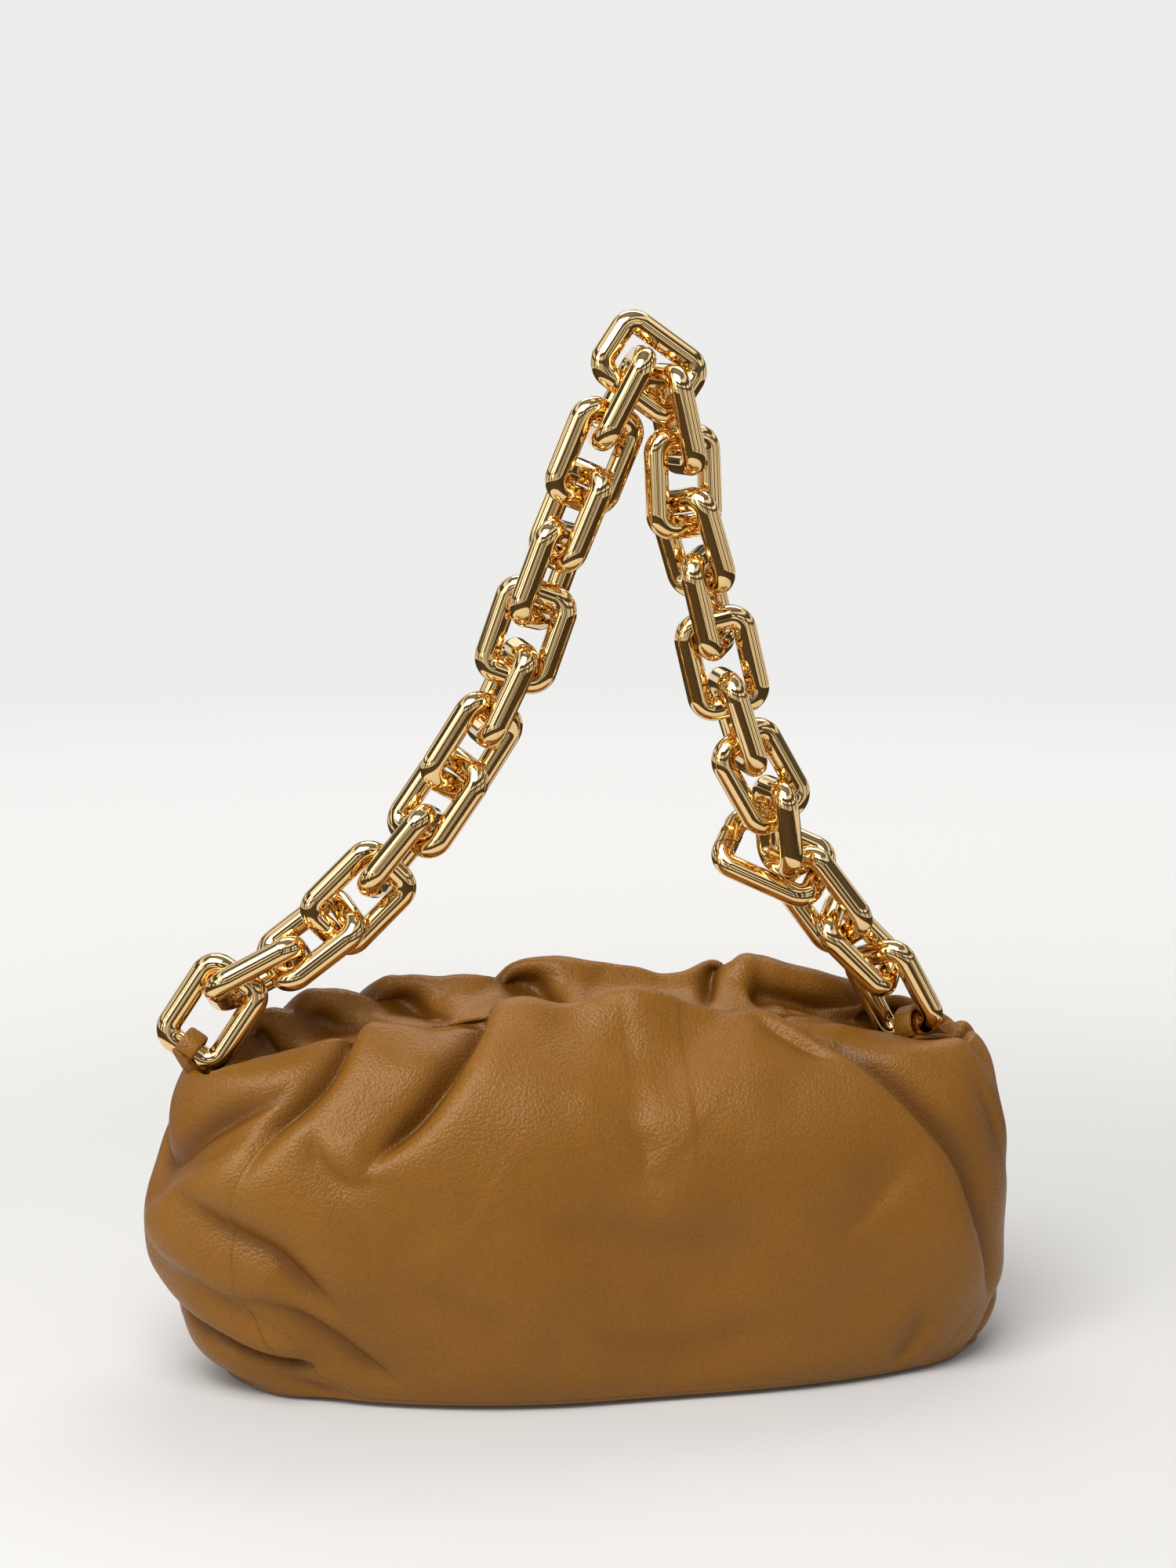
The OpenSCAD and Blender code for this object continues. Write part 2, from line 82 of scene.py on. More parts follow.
# Settings
class LeatherSettings(bpy.types.PropertyGroup):
    """Colours and grain of the leather, with its painted crease shade and painted ridge highlight, and its
    turned edge
    """
    colour: bpy.props.FloatVectorProperty(
        name="Leather colour", description="Middle tone of the tan leather", subtype="COLOR",
        size=3, min=0, max=1, default=(0.212, 0.080, 0.0040))
    # deep is painted shade, laid into the creases of the folds; it also gives the grain its darker tone
    deep: bpy.props.FloatVectorProperty(
        name="Crease shade and grain colour", description="Leather in the depth of a fold", subtype="COLOR",
        size=3, min=0, max=1, default=(0.105, 0.034, 0.0018))
    # pale is a painted highlight, laid onto the ridges of the folds
    pale: bpy.props.FloatVectorProperty(
        name="Painted ridge highlight", description="Painted highlight on the ridge of a fold", subtype="COLOR",
        size=3, min=0, max=1, default=(0.270, 0.118, 0.0130))
    grain: bpy.props.FloatProperty(
        name="Grain", description="Size of one pebble of the grain", unit="LENGTH",
        min=0.0004, max=0.003, default=0.0011)
    edge: bpy.props.FloatProperty(
        name="Turned edge", description="Thickness of the leather where an edge is turned in",
        unit="LENGTH", min=0.0005, max=0.003, default=0.0014)


class MetalSettings(bpy.types.PropertyGroup):
    """Colours of the chain's plating and of the frame's steel"""
    gold: bpy.props.FloatVectorProperty(
        name="Gold colour", description="Colour of the polished plating", subtype="COLOR",
        size=3, min=0, max=1, default=(0.89, 0.63, 0.30))
    steel: bpy.props.FloatVectorProperty(
        name="Steel colour", description="Colour of the frame's spring steel", subtype="COLOR",
        size=3, min=0, max=1, default=(0.55, 0.53, 0.50))


class ClothSettings(bpy.types.PropertyGroup):
    """Colour and weave of the lining"""
    colour: bpy.props.FloatVectorProperty(
        name="Lining colour", description="Colour of the woven lining", subtype="COLOR",
        size=3, min=0, max=1, default=(0.105, 0.058, 0.026))
    yarn: bpy.props.FloatProperty(
        name="Yarn", description="Width of one yarn of the lining", unit="LENGTH",
        min=0.0003, max=0.002, default=0.0007)


class StudioSettings(bpy.types.PropertyGroup):
    """Colour of the floor and brightness of the ceiling"""
    floor: bpy.props.FloatVectorProperty(
        name="Floor colour", description="Colour of the pale floor", subtype="COLOR",
        size=3, min=0, max=1, default=(0.66, 0.655, 0.645))
    ambient: bpy.props.FloatProperty(
        name="Ambient", description="Brightness of the studio's ceiling", subtype="FACTOR",
        min=0, max=4, default=0.58)


class PouchLook(bpy.types.PropertyGroup):
    """All settings of the pouch and its studio"""
    leather: bpy.props.PointerProperty(
        name="Leather", description="Settings of the leather", type=LeatherSettings)
    metal: bpy.props.PointerProperty(
        name="Metal", description="Settings of the chain and the frame", type=MetalSettings)
    cloth: bpy.props.PointerProperty(
        name="Cloth", description="Settings of the lining", type=ClothSettings)
    studio: bpy.props.PointerProperty(
        name="Studio", description="Settings of the floor and the sky", type=StudioSettings)


def settings():
    return bpy.context.scene.pouch_look


# Shader maths

# The sockets of a Mix node for colours
MIX_SHARE, MIX_FIRST, MIX_SECOND, MIX_RESULT = 0, 6, 7, 2


class Wire:
    """A node's output, with Python's operators for shader maths."""

    def __init__(self, nodes, value):
        self.nodes, self.value = nodes, value

    def maths(self, operation, first, second):
        return self.nodes.node("ShaderNodeMath", {"operation": operation}, (first, second))

    def __add__(self, other):
        return self.maths("ADD", self, other)

    def __sub__(self, other):
        return self.maths("SUBTRACT", self, other)

    def __rsub__(self, other):
        return self.maths("SUBTRACT", other, self)

    def __mul__(self, other):
        return self.maths("MULTIPLY", self, other)

    __radd__ = __add__
    __rmul__ = __mul__

    def above(self, low, high):
        """A soft step from 0 at low to 1 at high. A low over high turns it round."""
        return self.nodes.node("ShaderNodeMapRange", {"interpolation_type": "SMOOTHSTEP"},
                               {"Value": self, "From Min": low, "From Max": high})


class Nodes:
    """Makes the nodes of one tree, with their settings, values and links."""

    def __init__(self, tree):
        self.tree = tree

    @staticmethod
    def set_stops(stops, rows):
        """Colours a ramp's stops, of which the first two are its own ends, at 0 and 1."""
        for i, (place, colour) in enumerate(rows):
            stop = stops[i] if i < 2 else stops.new(place)
            stop.color = (*colour, 1.0)

    def link_or_set(self, value, socket):
        if isinstance(value, Wire):
            self.tree.links.new(value.value, socket)
        else:
            socket.default_value = value

    def node(self, kind, choices=None, inputs=(), output=0):
        """A new node with these choices made and these values or wires on its sockets."""
        node = self.tree.nodes.new(kind)
        for key, value in (choices or {}).items():
            if key == "stops":
                self.set_stops(node.color_ramp.elements, value)
            else:
                setattr(node, key, value)
        items = inputs.items() if isinstance(inputs, dict) else enumerate(inputs)
        for key, value in items:
            self.link_or_set(value, node.inputs[key])
        return Wire(self, node.outputs[output])


class Finish(Nodes):
    """A node material with one principled shader."""

    def __init__(self, name):
        self.material = bpy.data.materials.new(name)
        self.material.use_nodes = True
        super().__init__(self.material.node_tree)
        self.shader = self.tree.nodes["Principled BSDF"]

    def place(self):
        return self.node("ShaderNodeTexCoord", output="Object")

    def attribute(self, name):
        return self.node("ShaderNodeAttribute", {"attribute_name": name}, output="Fac")

    def noise(self, place, scale, detail, rough=0.5, distortion=0.0):
        return self.node("ShaderNodeTexNoise", {}, {"Vector": place, "Scale": scale, "Detail": detail,
                                                    "Roughness": rough, "Distortion": distortion})

    def mix(self, share, first, second):
        """Mixes two colours, each a wire or red, green and blue."""
        first, second = (value if isinstance(value, Wire) else (*value, 1.0) for value in (first, second))
        return self.node("ShaderNodeMix", {"data_type": "RGBA"},
                         {MIX_SHARE: share, MIX_FIRST: first, MIX_SECOND: second}, output=MIX_RESULT)

    def bump(self, height, strength, distance):
        return self.node("ShaderNodeBump", {}, {"Strength": strength, "Distance": distance, "Height": height})

    def set(self, **values):
        """Puts values or wires on the shader's sockets and gives the material."""
        for key, value in values.items():
            self.link_or_set(value, self.shader.inputs[key.replace("_", " ")])
        return self.material


def toned(colour, share):
    """The same colour, darker or brighter."""
    return [share * channel for channel in colour]


def leather_finish(name="tan_leather", folds=True):
    """Pebbled leather, with painted shade in the grooves of its folds and a painted highlight on their
    ridges.
    """
    look = settings().leather
    leather = Finish(name)
    place = leather.place()
    cloudy = leather.noise(place, scale=9.0, detail=2.0)
    mottled = leather.noise(place, scale=60.0, detail=4.0, rough=0.6)
    colour = leather.mix(mottled.above(0.35, 0.68), toned(look.colour, 0.97), toned(look.colour, 1.03))
    colour = leather.mix(cloudy.above(0.40, 0.64) * 0.25, colour, toned(look.colour, 0.86))
    grain = leather.node("ShaderNodeTexVoronoi", {"feature": "SMOOTH_F1"},
                         {"Vector": place, "Scale": 1 / look.grain, "Smoothness": 0.5, "Randomness": 1.0})
    fine = leather.noise(place, scale=2600.0, detail=2.0)
    lines = leather.noise(place, scale=210.0, detail=6.0, rough=0.62, distortion=0.9)
    if folds:
        fold = leather.attribute("fold")
        # Painted shade: the deep colour where the fold measure is low, in the grooves
        colour = leather.mix(fold.above(0.50, 0.10) * 0.75, colour, look.deep)
        # Painted highlight: the pale colour where the fold measure is high, on the ridges
        colour = leather.mix(fold.above(0.56, 0.95) * 0.3, colour, look.pale)
    # The grain's own darker tone, in the same deep colour
    colour = leather.mix(grain.above(0.25, 0.85) * 0.22, colour, look.deep)
    rough = 0.31 + 0.08 * mottled + 0.14 * grain
    height = 0.8 * (1 - grain) + 0.2 * fine + 0.3 * lines
    normal = leather.bump(height, strength=0.42, distance=0.0007)
    return leather.set(Base_Color=colour, Roughness=rough, Normal=normal, Specular_IOR_Level=0.5,
                       Specular_Tint=(1.0, 0.86, 0.62, 1.0))


def plain_leather_finish():
    """The same leather for pieces without a fold measure."""
    return leather_finish("tab_leather", folds=False)


def gold_finish():
    look = settings().metal
    gold = Finish("gold_metal")
    place = gold.place()
    cloud = gold.noise(place, scale=45.0, detail=3.0)
    hair = gold.noise(place, scale=900.0, detail=3.0, rough=0.7)
    colour = gold.mix(cloud.above(0.35, 0.7), toned(look.gold, 0.97), look.gold)
    return gold.set(Base_Color=colour, Roughness=0.045 + 0.05 * hair.above(0.45, 0.8), Metallic=1.0,
                    Normal=gold.bump(cloud, strength=0.04, distance=0.0008))


def steel_finish():
    """Steel brushed along the bag."""
    look = settings().metal
    steel = Finish("frame_steel")
    drawn = steel.node("ShaderNodeMapping", {}, {"Vector": steel.place(), "Scale": (8.0, 900.0, 900.0)})
    brushed = steel.noise(drawn, scale=1.0, detail=4.0, rough=0.6)
    colour = steel.mix(brushed.above(0.3, 0.7), toned(look.steel, 0.8), look.steel)
    return steel.set(Base_Color=colour, Roughness=0.26 + 0.16 * brushed, Metallic=1.0,
                     Normal=steel.bump(brushed, strength=0.12, distance=0.0002))


def magnet_finish():
    magnet = Finish("magnet")
    speck = magnet.noise(magnet.place(), scale=700.0, detail=4.0, rough=0.7)
    colour = magnet.mix(speck.above(0.4, 0.7), (0.30, 0.30, 0.31), (0.42, 0.42, 0.43))
    return magnet.set(Base_Color=colour, Roughness=0.22 + 0.2 * speck, Metallic=1.0,
                      Normal=magnet.bump(speck, strength=0.1, distance=0.0002))


def weave_height(cloth, place, yarn):
    """The height of crossing yarns. Depth shifts both, so that no wall's weave is left plain."""
    split = cloth.node("ShaderNodeSeparateXYZ", {}, (place,)).value.node
    x, y, z = (Wire(cloth, split.outputs[i]) for i in range(3))
    turn = math.pi / yarn
    across = cloth.node("ShaderNodeMath", {"operation": "SINE"}, ((x + 0.35 * y) * turn,))
    upward = cloth.node("ShaderNodeMath", {"operation": "SINE"}, ((z + 0.55 * y) * turn,))
    return across * upward


def lining_finish():
    look = settings().cloth
    cloth = Finish("dark_lining")
    place = cloth.place()
    weave = weave_height(cloth, place, look.yarn)
    cloud = cloth.noise(place, scale=40.0, detail=3.0)
    colour = cloth.mix(weave.above(-0.5, 0.6), toned(look.colour, 0.7), toned(look.colour, 1.15))
    colour = cloth.mix(cloud.above(0.35, 0.7) * 0.4, colour, toned(look.colour, 0.75))
    return cloth.set(Base_Color=colour, Roughness=0.82 + 0.1 * cloud,
                     Normal=cloth.bump(weave, strength=0.5, distance=0.0003),
                     Sheen_Weight=0.25, Sheen_Roughness=0.4, Specular_IOR_Level=0.25)


def board_finish():
    board = Finish("board")
    fibre = board.noise(board.place(), scale=300.0, detail=6.0, rough=0.7)
    colour = board.mix(fibre.above(0.3, 0.7), (0.10, 0.075, 0.05), (0.19, 0.15, 0.10))
    return board.set(Base_Color=colour, Roughness=0.85 + 0.1 * fibre,
                     Normal=board.bump(fibre, strength=0.3, distance=0.0004))


_finishes = {}


def finish(maker):
    """The material that this maker makes, made once and then shared."""
    if maker.__name__ not in _finishes:
        _finishes[maker.__name__] = maker()
    return _finishes[maker.__name__]


# The gathered skin

# Levels of the skin from the middle of the base over the ridge to the mouth, in millimetres:
# height (None where the curves below give it), reach to the left, right, front and rear, plan power at the
# left and right, and unrolled height
LEVELS = (
    (1.0, 0.0, 0.0, 0.0, 0.0, 2.2, 2.4, -60.0),
    (0.5, 124.0, 136.0, 55.0, 45.0, 1.95, 2.8, -9.0),
    (6.0, 142.0, 150.0, 65.0, 53.0, 2.0, 3.1, 3.0),
    (27.0, 156.0, 158.5, 66.0, 57.0, 2.25, 3.3, 28.0),
    (60.0, 165.0, 162.0, 64.0, 60.5, 2.6, 3.2, 60.0),
    (95.0, 161.0, 160.0, 57.0, 58.5, 2.6, 3.0, 95.0),
    (119.0, 152.5, 151.5, 41.0, 47.0, 2.6, 2.8, 124.0),
    (None, 146.5, 143.0, 18.0, 21.0, 2.7, 2.8, 150.0),
    (None, 144.5, 141.0, 7.5, 9.5, 2.8, 2.8, 161.0),
    (None, 142.5, 139.0, 0.0, 0.0, 2.8, 2.8, 170.0),
)
HEIGHT, TO_LEFT, TO_RIGHT, TO_FRONT, TO_REAR, POWER_LEFT, POWER_RIGHT, UNROLLED = range(8)
# The level numbers of the belly, the ridge, and the one between the ridge and the mouth's edge
BELLY, RIDGE, INNER = 4, 7, 8
# How fast the plan power changes from left to right, and how fast the mouth closes at the ends
POWER_CHANGE, END_CLOSING = 4, 3
# How far ridge and inner level stay off the mouth's edge, and how the inner one's height is mixed
RIDGE_ROOM, INNER_ROOM, INNER_OF_MOUTH, INNER_OF_RIDGE = 3.5, 1.5, 0.55, 0.45
TURN_STEPS = 2881
# Along the bag: the heights of the front and rear ridges and of the mouth's edge, and half the mouth's width
RIDGE_FRONT = ((-160, 112), (-150, 118), (-139, 123), (-126, 126.5), (-109, 130), (-97, 134.5), (-86, 135.5),
               (-73, 134), (-57, 131.5), (-48, 135), (-38, 140), (-28, 142), (-10, 141.5), (0, 144.5),
               (12, 146.5), (22, 144.5), (35, 140), (48, 136), (69, 131), (84, 127.5), (100, 126.5),
               (124, 121.5), (135, 117), (146, 109.5), (160, 95))
RIDGE_REAR = ((-160, 112), (-150, 118), (-138, 125), (-127, 131.5), (-110, 137.5), (-88, 142), (-66, 145),
              (-54, 144.5), (-41, 147), (-28, 149), (-15, 149), (3, 148), (24, 146), (34, 142.5), (43, 143.5),
              (52, 148), (60, 147.5), (70, 142.5), (82, 138.5), (95, 135.5), (114, 131.5), (127, 127.5),
              (136, 121), (143, 113.5), (160, 95))
MOUTH_HEIGHT = ((-150, 110), (-125, 112), (-108, 117.5), (-95, 124), (-60, 132.3), (0, 136), (60, 132.3),
                (95, 124), (108, 117), (125, 110), (150, 105))
MOUTH_OPEN = ((-150, 7.0), (-138, 9.5), (-125, 7.5), (-108, 2.2), (-98, 0.6), (98, 0.6), (106, 3.0),
              (118, 10.0), (130, 11.0), (150, 7.0))
# Places on the unrolled skin are in millimetres: to the right from the middle of the front, and up.
# Two lines that have a fold and a roll each: the deep pocket at the lower left, and the right end's lobe
POCKET_FOLD = ((-208, 45), (-198, 42), (-180, 33), (-164, 28), (-148, 20), (-138, 16), (-131, 13))
LOBE_FOLD = ((200, 34), (183, 28), (170, 21), (165, 11), (161, -3))
# The folds, each by its line on the unrolled skin, its depth, the roll beside it (its sign is the side), its
# width, and how it fades in and out
FOLDS = (
    # front, from the left
    (((-45, 164), (-50, 148), (-60, 133), (-70, 118), (-79, 107), (-90, 97), (-98, 88)),
     9.0, 5.8, 11, 0.05, 0.34),
    (((-114, 110), (-112, 99), (-105, 91), (-96, 87), (-86, 90)), 3.2, 2.4, 9.5, 0.35, 0.45),
    (((-98, 167), (-102, 151), (-110, 134), (-120, 118), (-130, 105), (-136, 92), (-139, 78)),
     6.5, 4.8, 11, 0.05, 0.4),
    (((-196, 66), (-188, 71), (-162, 89), (-142, 104), (-130, 113)), 3.6, -4.0, 14, 0.2, 0.3),
    (((-215, 100), (-189, 84), (-156, 106), (-134, 120), (-124, 134)), 5.0, -4.2, 12, 0.3, 0.3),
    (((-172, 82), (-164, 77), (-148, 71), (-127, 64), (-117, 54), (-110, 44), (-104, 32)),
     6.5, 5.0, 16, 0.3, 0.35),
    (POCKET_FOLD, 15.5, 8.0, 9.5, 0.2, 0.15),
    (POCKET_FOLD, 0.0, -4.5, 13, 0.45, 0.2),
    (((-152, 47), (-132, 42), (-119, 32), (-110, 16), (-103, 4)), 3.4, 3.0, 12, 0.3, 0.3),
    (((-200, 66), (-178, 54), (-160, 48), (-140, 36), (-128, 26)), 4.0, 3.8, 12, 0.25, 0.35),
    (((-168, 16), (-150, 6), (-134, 1), (-118, 0)), 2.4, -2.0, 9, 0.4, 0.4),
    (((12, 158), (12, 140), (13, 125), (12, 103), (14, 88)), 0.9, 0.8, 20, 0.2, 0.5),
    (((4, 112), (12, 98), (12, 88), (24, 82)), 1.8, 1.6, 12, 0.4, 0.4),
    (((-44, 72), (-14, 70), (6, 66), (26, 58), (58, 60)), 2.0, 2.4, 28, 0.45, 0.45),
    (((70, 149), (80, 142), (89, 134), (97, 126), (104, 122)), 3.4, 3.2, 11, 0.35, 0.4),
    (((80, 168), (90, 155), (105, 137), (115, 121), (125, 102), (136, 81), (143, 58), (153, 36), (160, 20)),
     6.2, -5.4, 11, 0.05, 0.15),
    (((120, 88), (97, 69), (78, 54)), 1.8, 1.8, 16, 0.4, 0.4),
    (LOBE_FOLD, 10.0, -4.0, 8, 0.3, 0.1),
    (LOBE_FOLD, 0.0, 5.5, 11, 0.3, 0.1),
    (((115, 36), (119, 25), (120, 13), (116, 1)), 2.4, 2.2, 15, 0.5, 0.25),
    (((-30, 34), (20, 22), (70, 26)), 1.8, 2.0, 24, 0.4, 0.4),
    (((-88, 60), (-70, 44), (-40, 36)), 1.6, 1.8, 20, 0.4, 0.4),
    # rear, as its folds show over the front ridge, and on down the rear wall
    (((-330, 172), (-321, 161), (-304, 153), (-292, 140), (-286, 118)), 9.5, -5.5, 8.5, 0.05, 0.4),
    (((-380, 172), (-371, 160), (-358, 155), (-345, 140), (-334, 116), (-328, 96)), 9.5, -5.5, 9, 0.05, 0.4),
    (((338, 169), (330, 162), (325, 157), (320, 152), (314, 140), (310, 124)), 8.5, -5.0, 8.5, 0.2, 0.4),
    (((312, 168), (304, 161), (293, 158), (275, 155), (258, 146), (245, 126), (240, 100), (240, 70)),
     10.0, 5.4, 9, 0.05, 0.3),
    (((300, 171), (284, 163), (267, 161), (246, 157), (235, 147), (228, 130)), 7.0, 4.4, 7.5, 0.1, 0.4),
    (((-270, 170), (-252, 160), (-240, 142), (-233, 118), (-230, 92)), 6.0, -4.6, 10, 0.05, 0.4),
    (((-305, 170), (-283, 161), (-266, 150), (-256, 132)), 6.5, -4.6, 9, 0.05, 0.4),
    (((-352, 92), (-326, 74), (-300, 66)), 2.2, 2.2, 20, 0.4, 0.4),
    (((352, 60), (318, 48), (286, 58)), 2.2, -2.2, 20, 0.4, 0.4),
    (((262, 60), (270, 34), (280, 12), (290, 0)), 4.0, 3.4, 11, 0.3, 0.2),
    (((-262, 52), (-272, 30), (-284, 10)), 4.2, -3.4, 11, 0.3, 0.2),
    (((-372, 40), (-340, 26), (-310, 30)), 2.0, 2.0, 20, 0.4, 0.4),
    # the two ends
    (((-217, 168), (-214, 145), (-212, 118), (-206, 92)), 4.6, 3.8, 11, 0.1, 0.4),
    (((-184, 168), (-179, 150), (-172, 132)), 3.4, 2.6, 10, 0.1, 0.4),
    (((-236, 66), (-222, 46), (-206, 34), (-190, 30)), 5.0, -3.6, 11, 0.3, 0.3),
    (((202, 168), (199, 146), (202, 118), (208, 84)), 5.0, 4.0, 10, 0.1, 0.4),
    (((172, 168), (168, 146), (166, 124), (170, 98)), 3.6, -3.2, 10, 0.1, 0.4),
    (((150, 120), (158, 96), (166, 76), (180, 66)), 2.6, 2.6, 14, 0.4, 0.4),
    (((228, 160), (222, 138), (219, 112)), 3.6, 3.2, 10, 0.1, 0.5),
)
# How far the lip of a fold leans over its groove, as a share of its roll
LEAN = 0.6
# A fold's section, in widths from its line: how far it counts, how narrow it fades, and the shape of its
# groove, its roll and its leaning lip
FOLD_REACH, FADED_WIDTH, FADING_WIDTH = 5, 0.6, 0.4
GROOVE_FALL, GROOVE_ROUND, GROOVE_TOP = 2.2, 0.05, 0.22
ROLL_GAIN, ROLL_START, ROLL_FALL = 1.6, 0.25, 0.75
LEAN_FALL, LEAN_TOP, LEAN_ROUND = 1.3, 0.28, 0.5
# Waves of slack leather: span, lift and number of each size, how their directions favour the three axes,
# their gain and their seed
WAVES = ((95.0, 1.3, 14), (42.0, 0.6, 18), (20.0, 0.12, 20))
WAVE_STRETCH, WAVE_GAIN, WAVE_SEED = (1.0, 0.8, 0.7), 1.6, 11
# Soft steps up the unrolled skin, by their start (or their end, where they go down) and their run
WAVY_FROM, GATHERED_FROM, GATHERED_LESS = (-4, 24), (140, 20), (160, 9)
FOLDED_FROM, FOLDED_TO = (-10, 12), (171, 12)
# Gathers round the bag, coarse and fine, and the place and width of the ends, where they are stronger
GATHERS, FINE_GATHERS, END_PLACE, END_WIDTH = 51, 83, 195, 42
# The room under the leather, and the lift over which the fold measure goes from 0 to 1, in millimetres
FLOOR_ROOM, FOLD_MEASURE = 0.4, 12.0
# Where the front leather ends at each side: unrolled height, and place along the bag
FRONT_LEFT = ((-10, -118), (3, -128), (28, -140), (60, -142), (78, -140), (92, -137), (105, -131),
              (118, -121), (134, -111), (150, -104), (170, -101))
FRONT_RIGHT = ((-10, 122), (3, 134), (20, 146), (36, 150), (58, 144), (81, 136), (102, 126), (121, 115),
               (136, 106), (150, 97), (170, 90))
# Where the pouch's window for the front begins, how far the window's edge goes under it, and how deep
FRONT_FOOT, TUCK, TUCK_DEPTH = 0.0, 6.0, 2.5
# How far in the linings lie, and how much farther the front one does part way up its height
BODY_LINING_INSET, FRONT_LINING_INSET, BEND_SLACK = 4.6, 6.8, 9.0
SLACK_FROM, SLACK_TO = (50, 25), (140, 25)
# The level that the lining ends at, below the rolled lip of the leather
LINING_TOP = 6.45
# The gussets under the front's side edges: level numbers, their reach from the edge, how far in they lie,
# rows and columns, and a span along x for each, in metres
GUSSET_LEVELS, GUSSET_REACH, GUSSET_INSET, GUSSET_GRID = (3.4, 9.0), (-2, 46.0), 3.0, (90, 34)
GUSSETS = {"left": (-0.100, -0.066), "right": (0.094, 0.060)}
# The slip pocket: level numbers, half its width, how far in it lies, its hem in metres, rows and columns
POCKET_LEVELS, POCKET_HALF, POCKET_INSET, POCKET_EDGE, POCKET_GRID = (3.3, 5.0), 74.0, 6.4, 0.0012, (24, 60)
# Rows of the pouch and the front, by level number and steps to the next, and millimetres between columns
BODY_ROWS = ((0.02, 3), (0.6, 6), (1.0, 8), (2.0, 17), (3.0, 22), (4.0, 24), (5.0, 20), (6.0, 20), (7.0, 9),
             (8.0, 8), (9.0, 0))
FRONT_ROWS = ((1.75, 3), (2.0, 24), (3.0, 32), (4.0, 34), (5.0, 28), (6.0, 30), (7.0, 11), (8.0, 9), (9.0, 0))
BODY_STEP, FRONT_STEP, BODY_LINING_STEP, FRONT_LINING_STEP = 1.6, 1.05, 3.2, 2.6
# How often a sheet is smoothed, and how near two of its corners lie that are made one
SMOOTHINGS, SAME_PLACE = 3, 0.02 * MM


def along(x, rows):
    """A smooth curve through the rows, read at x."""
    at, value = (np.array(column, float) for column in zip(*rows))
    slope = np.gradient(value, at)
    x = np.clip(x, at[0], at[-1])
    low = np.clip(np.searchsorted(at, x) - 1, 0, len(at) - 2)
    high = low + 1
    step = at[high] - at[low]
    t = (x - at[low]) / step
    return ((2 * t ** 3 - 3 * t ** 2 + 1) * value[low] + (t ** 3 - 2 * t ** 2 + t) * step * slope[low]
            + (3 * t ** 2 - 2 * t ** 3) * value[high] + (t ** 3 - t ** 2) * step * slope[high])


def smooth_between(a, b, c, d, t):
    """A smooth way from b to c, with a before and d after them, at the share t."""
    return 0.5 * (2 * b + (c - a) * t + (2 * a - 5 * b + 4 * c - d) * t ** 2
                  + (3 * b - a - 3 * c + d) * t ** 3)


def eased(share):
    """A soft step: 0 up to 0, and 1 from 1 on."""
    share = np.clip(share, 0, 1)
    return share * share * (3 - 2 * share)


def rising(value, start, run):
    """A soft step up from this start over this run."""
    return eased((value - start) / run)


def falling(value, end, run):
    """A soft step down over this run to this end."""
    return eased((end - value) / run)


def unit(vectors):
    return vectors / (np.linalg.norm(vectors, axis=-1, keepdims=True) + 1e-9)


def ring(level, angle):
    """Points of one level at these angles round the bag, counted from the right end over the rear."""
    row = LEVELS[level]
    right, rear = np.cos(angle), np.sin(angle)
    change = 0.5 + 0.5 * np.tanh(POWER_CHANGE * right)
    power = row[POWER_LEFT] + (row[POWER_RIGHT] - row[POWER_LEFT]) * change
    share_x = np.sign(right) * np.abs(right) ** (2 / power)
    share_y = np.abs(rear) ** (2 / power)
    x = np.where(right > 0, row[TO_RIGHT], row[TO_LEFT]) * share_x
    y = np.where(rear > 0, row[TO_REAR], row[TO_FRONT]) * share_y
    z = np.full(x.shape, row[HEIGHT] or 0.0)
    if level >= RIDGE:
        ends = np.clip(END_CLOSING * share_y, 0, 1)
        ridge = np.where(rear > 0, along(x, RIDGE_REAR), along(x, RIDGE_FRONT))
        mouth = along(x, MOUTH_HEIGHT)
        opening = along(x, MOUTH_OPEN) * ends
        if level == RIDGE:
            y, z = np.maximum(y, opening + RIDGE_ROOM * ends), ridge
        elif level == INNER:
            y = np.maximum(y, opening + INNER_ROOM * ends)
            z = INNER_OF_MOUTH * mouth + INNER_OF_RIDGE * ridge
        else:
            y, z = opening, mouth
    return np.stack([x, np.sign(rear) * y, z], -1)


def between(levels, rows):
    """Smoothly joins stacked levels at real level numbers, one for each row."""
    last = len(levels) - 1
    below = np.clip(np.floor(rows).astype(int), 0, last - 1)
    by_row = levels[0].shape[0] > 1

    def pick(numbers):
        return np.array([levels[np.clip(number, 0, last)][row if by_row else 0]
                         for row, number in enumerate(numbers)])

    before, low, high, after = pick(below - 1), pick(below), pick(below + 1), pick(below + 2)
    for_each_row = (-1, *[1] * (low.ndim - 1))
    number = below.reshape(for_each_row)
    before = np.where(number == 0, 2 * low - high, before)
    after = np.where(number == last - 1, 2 * high - low, after)
    return smooth_between(before, low, high, after, (rows - below).reshape(for_each_row))


# Angles round the bag from the middle of the rear over the left end, the run of the belly at each, 0 at the
# middle of the front, and its whole length
FULL_TURN = np.linspace(-1.5 * math.pi, 0.5 * math.pi, TURN_STEPS)
_belly = ring(BELLY, FULL_TURN)
RUN = np.concatenate([[0.0], np.cumsum(np.linalg.norm(np.diff(_belly, axis=0), axis=1))])
RUN -= np.interp(-0.5 * math.pi, FULL_TURN, RUN)
GIRTH = RUN[-1] - RUN[0]


def line_through(points, steps=8):
    """A smooth line through the points, with these steps from each to the next."""
    points = np.array(points, float)
    points = np.vstack([2 * points[0] - points[1], points, 2 * points[-1] - points[-2]])
    t = np.linspace(0, 1, steps, endpoint=False)[:, None]
    bits = [smooth_between(*four, t) for four in zip(points, points[1:], points[2:], points[3:])]
    return np.vstack(bits + [points[-2:-1]])


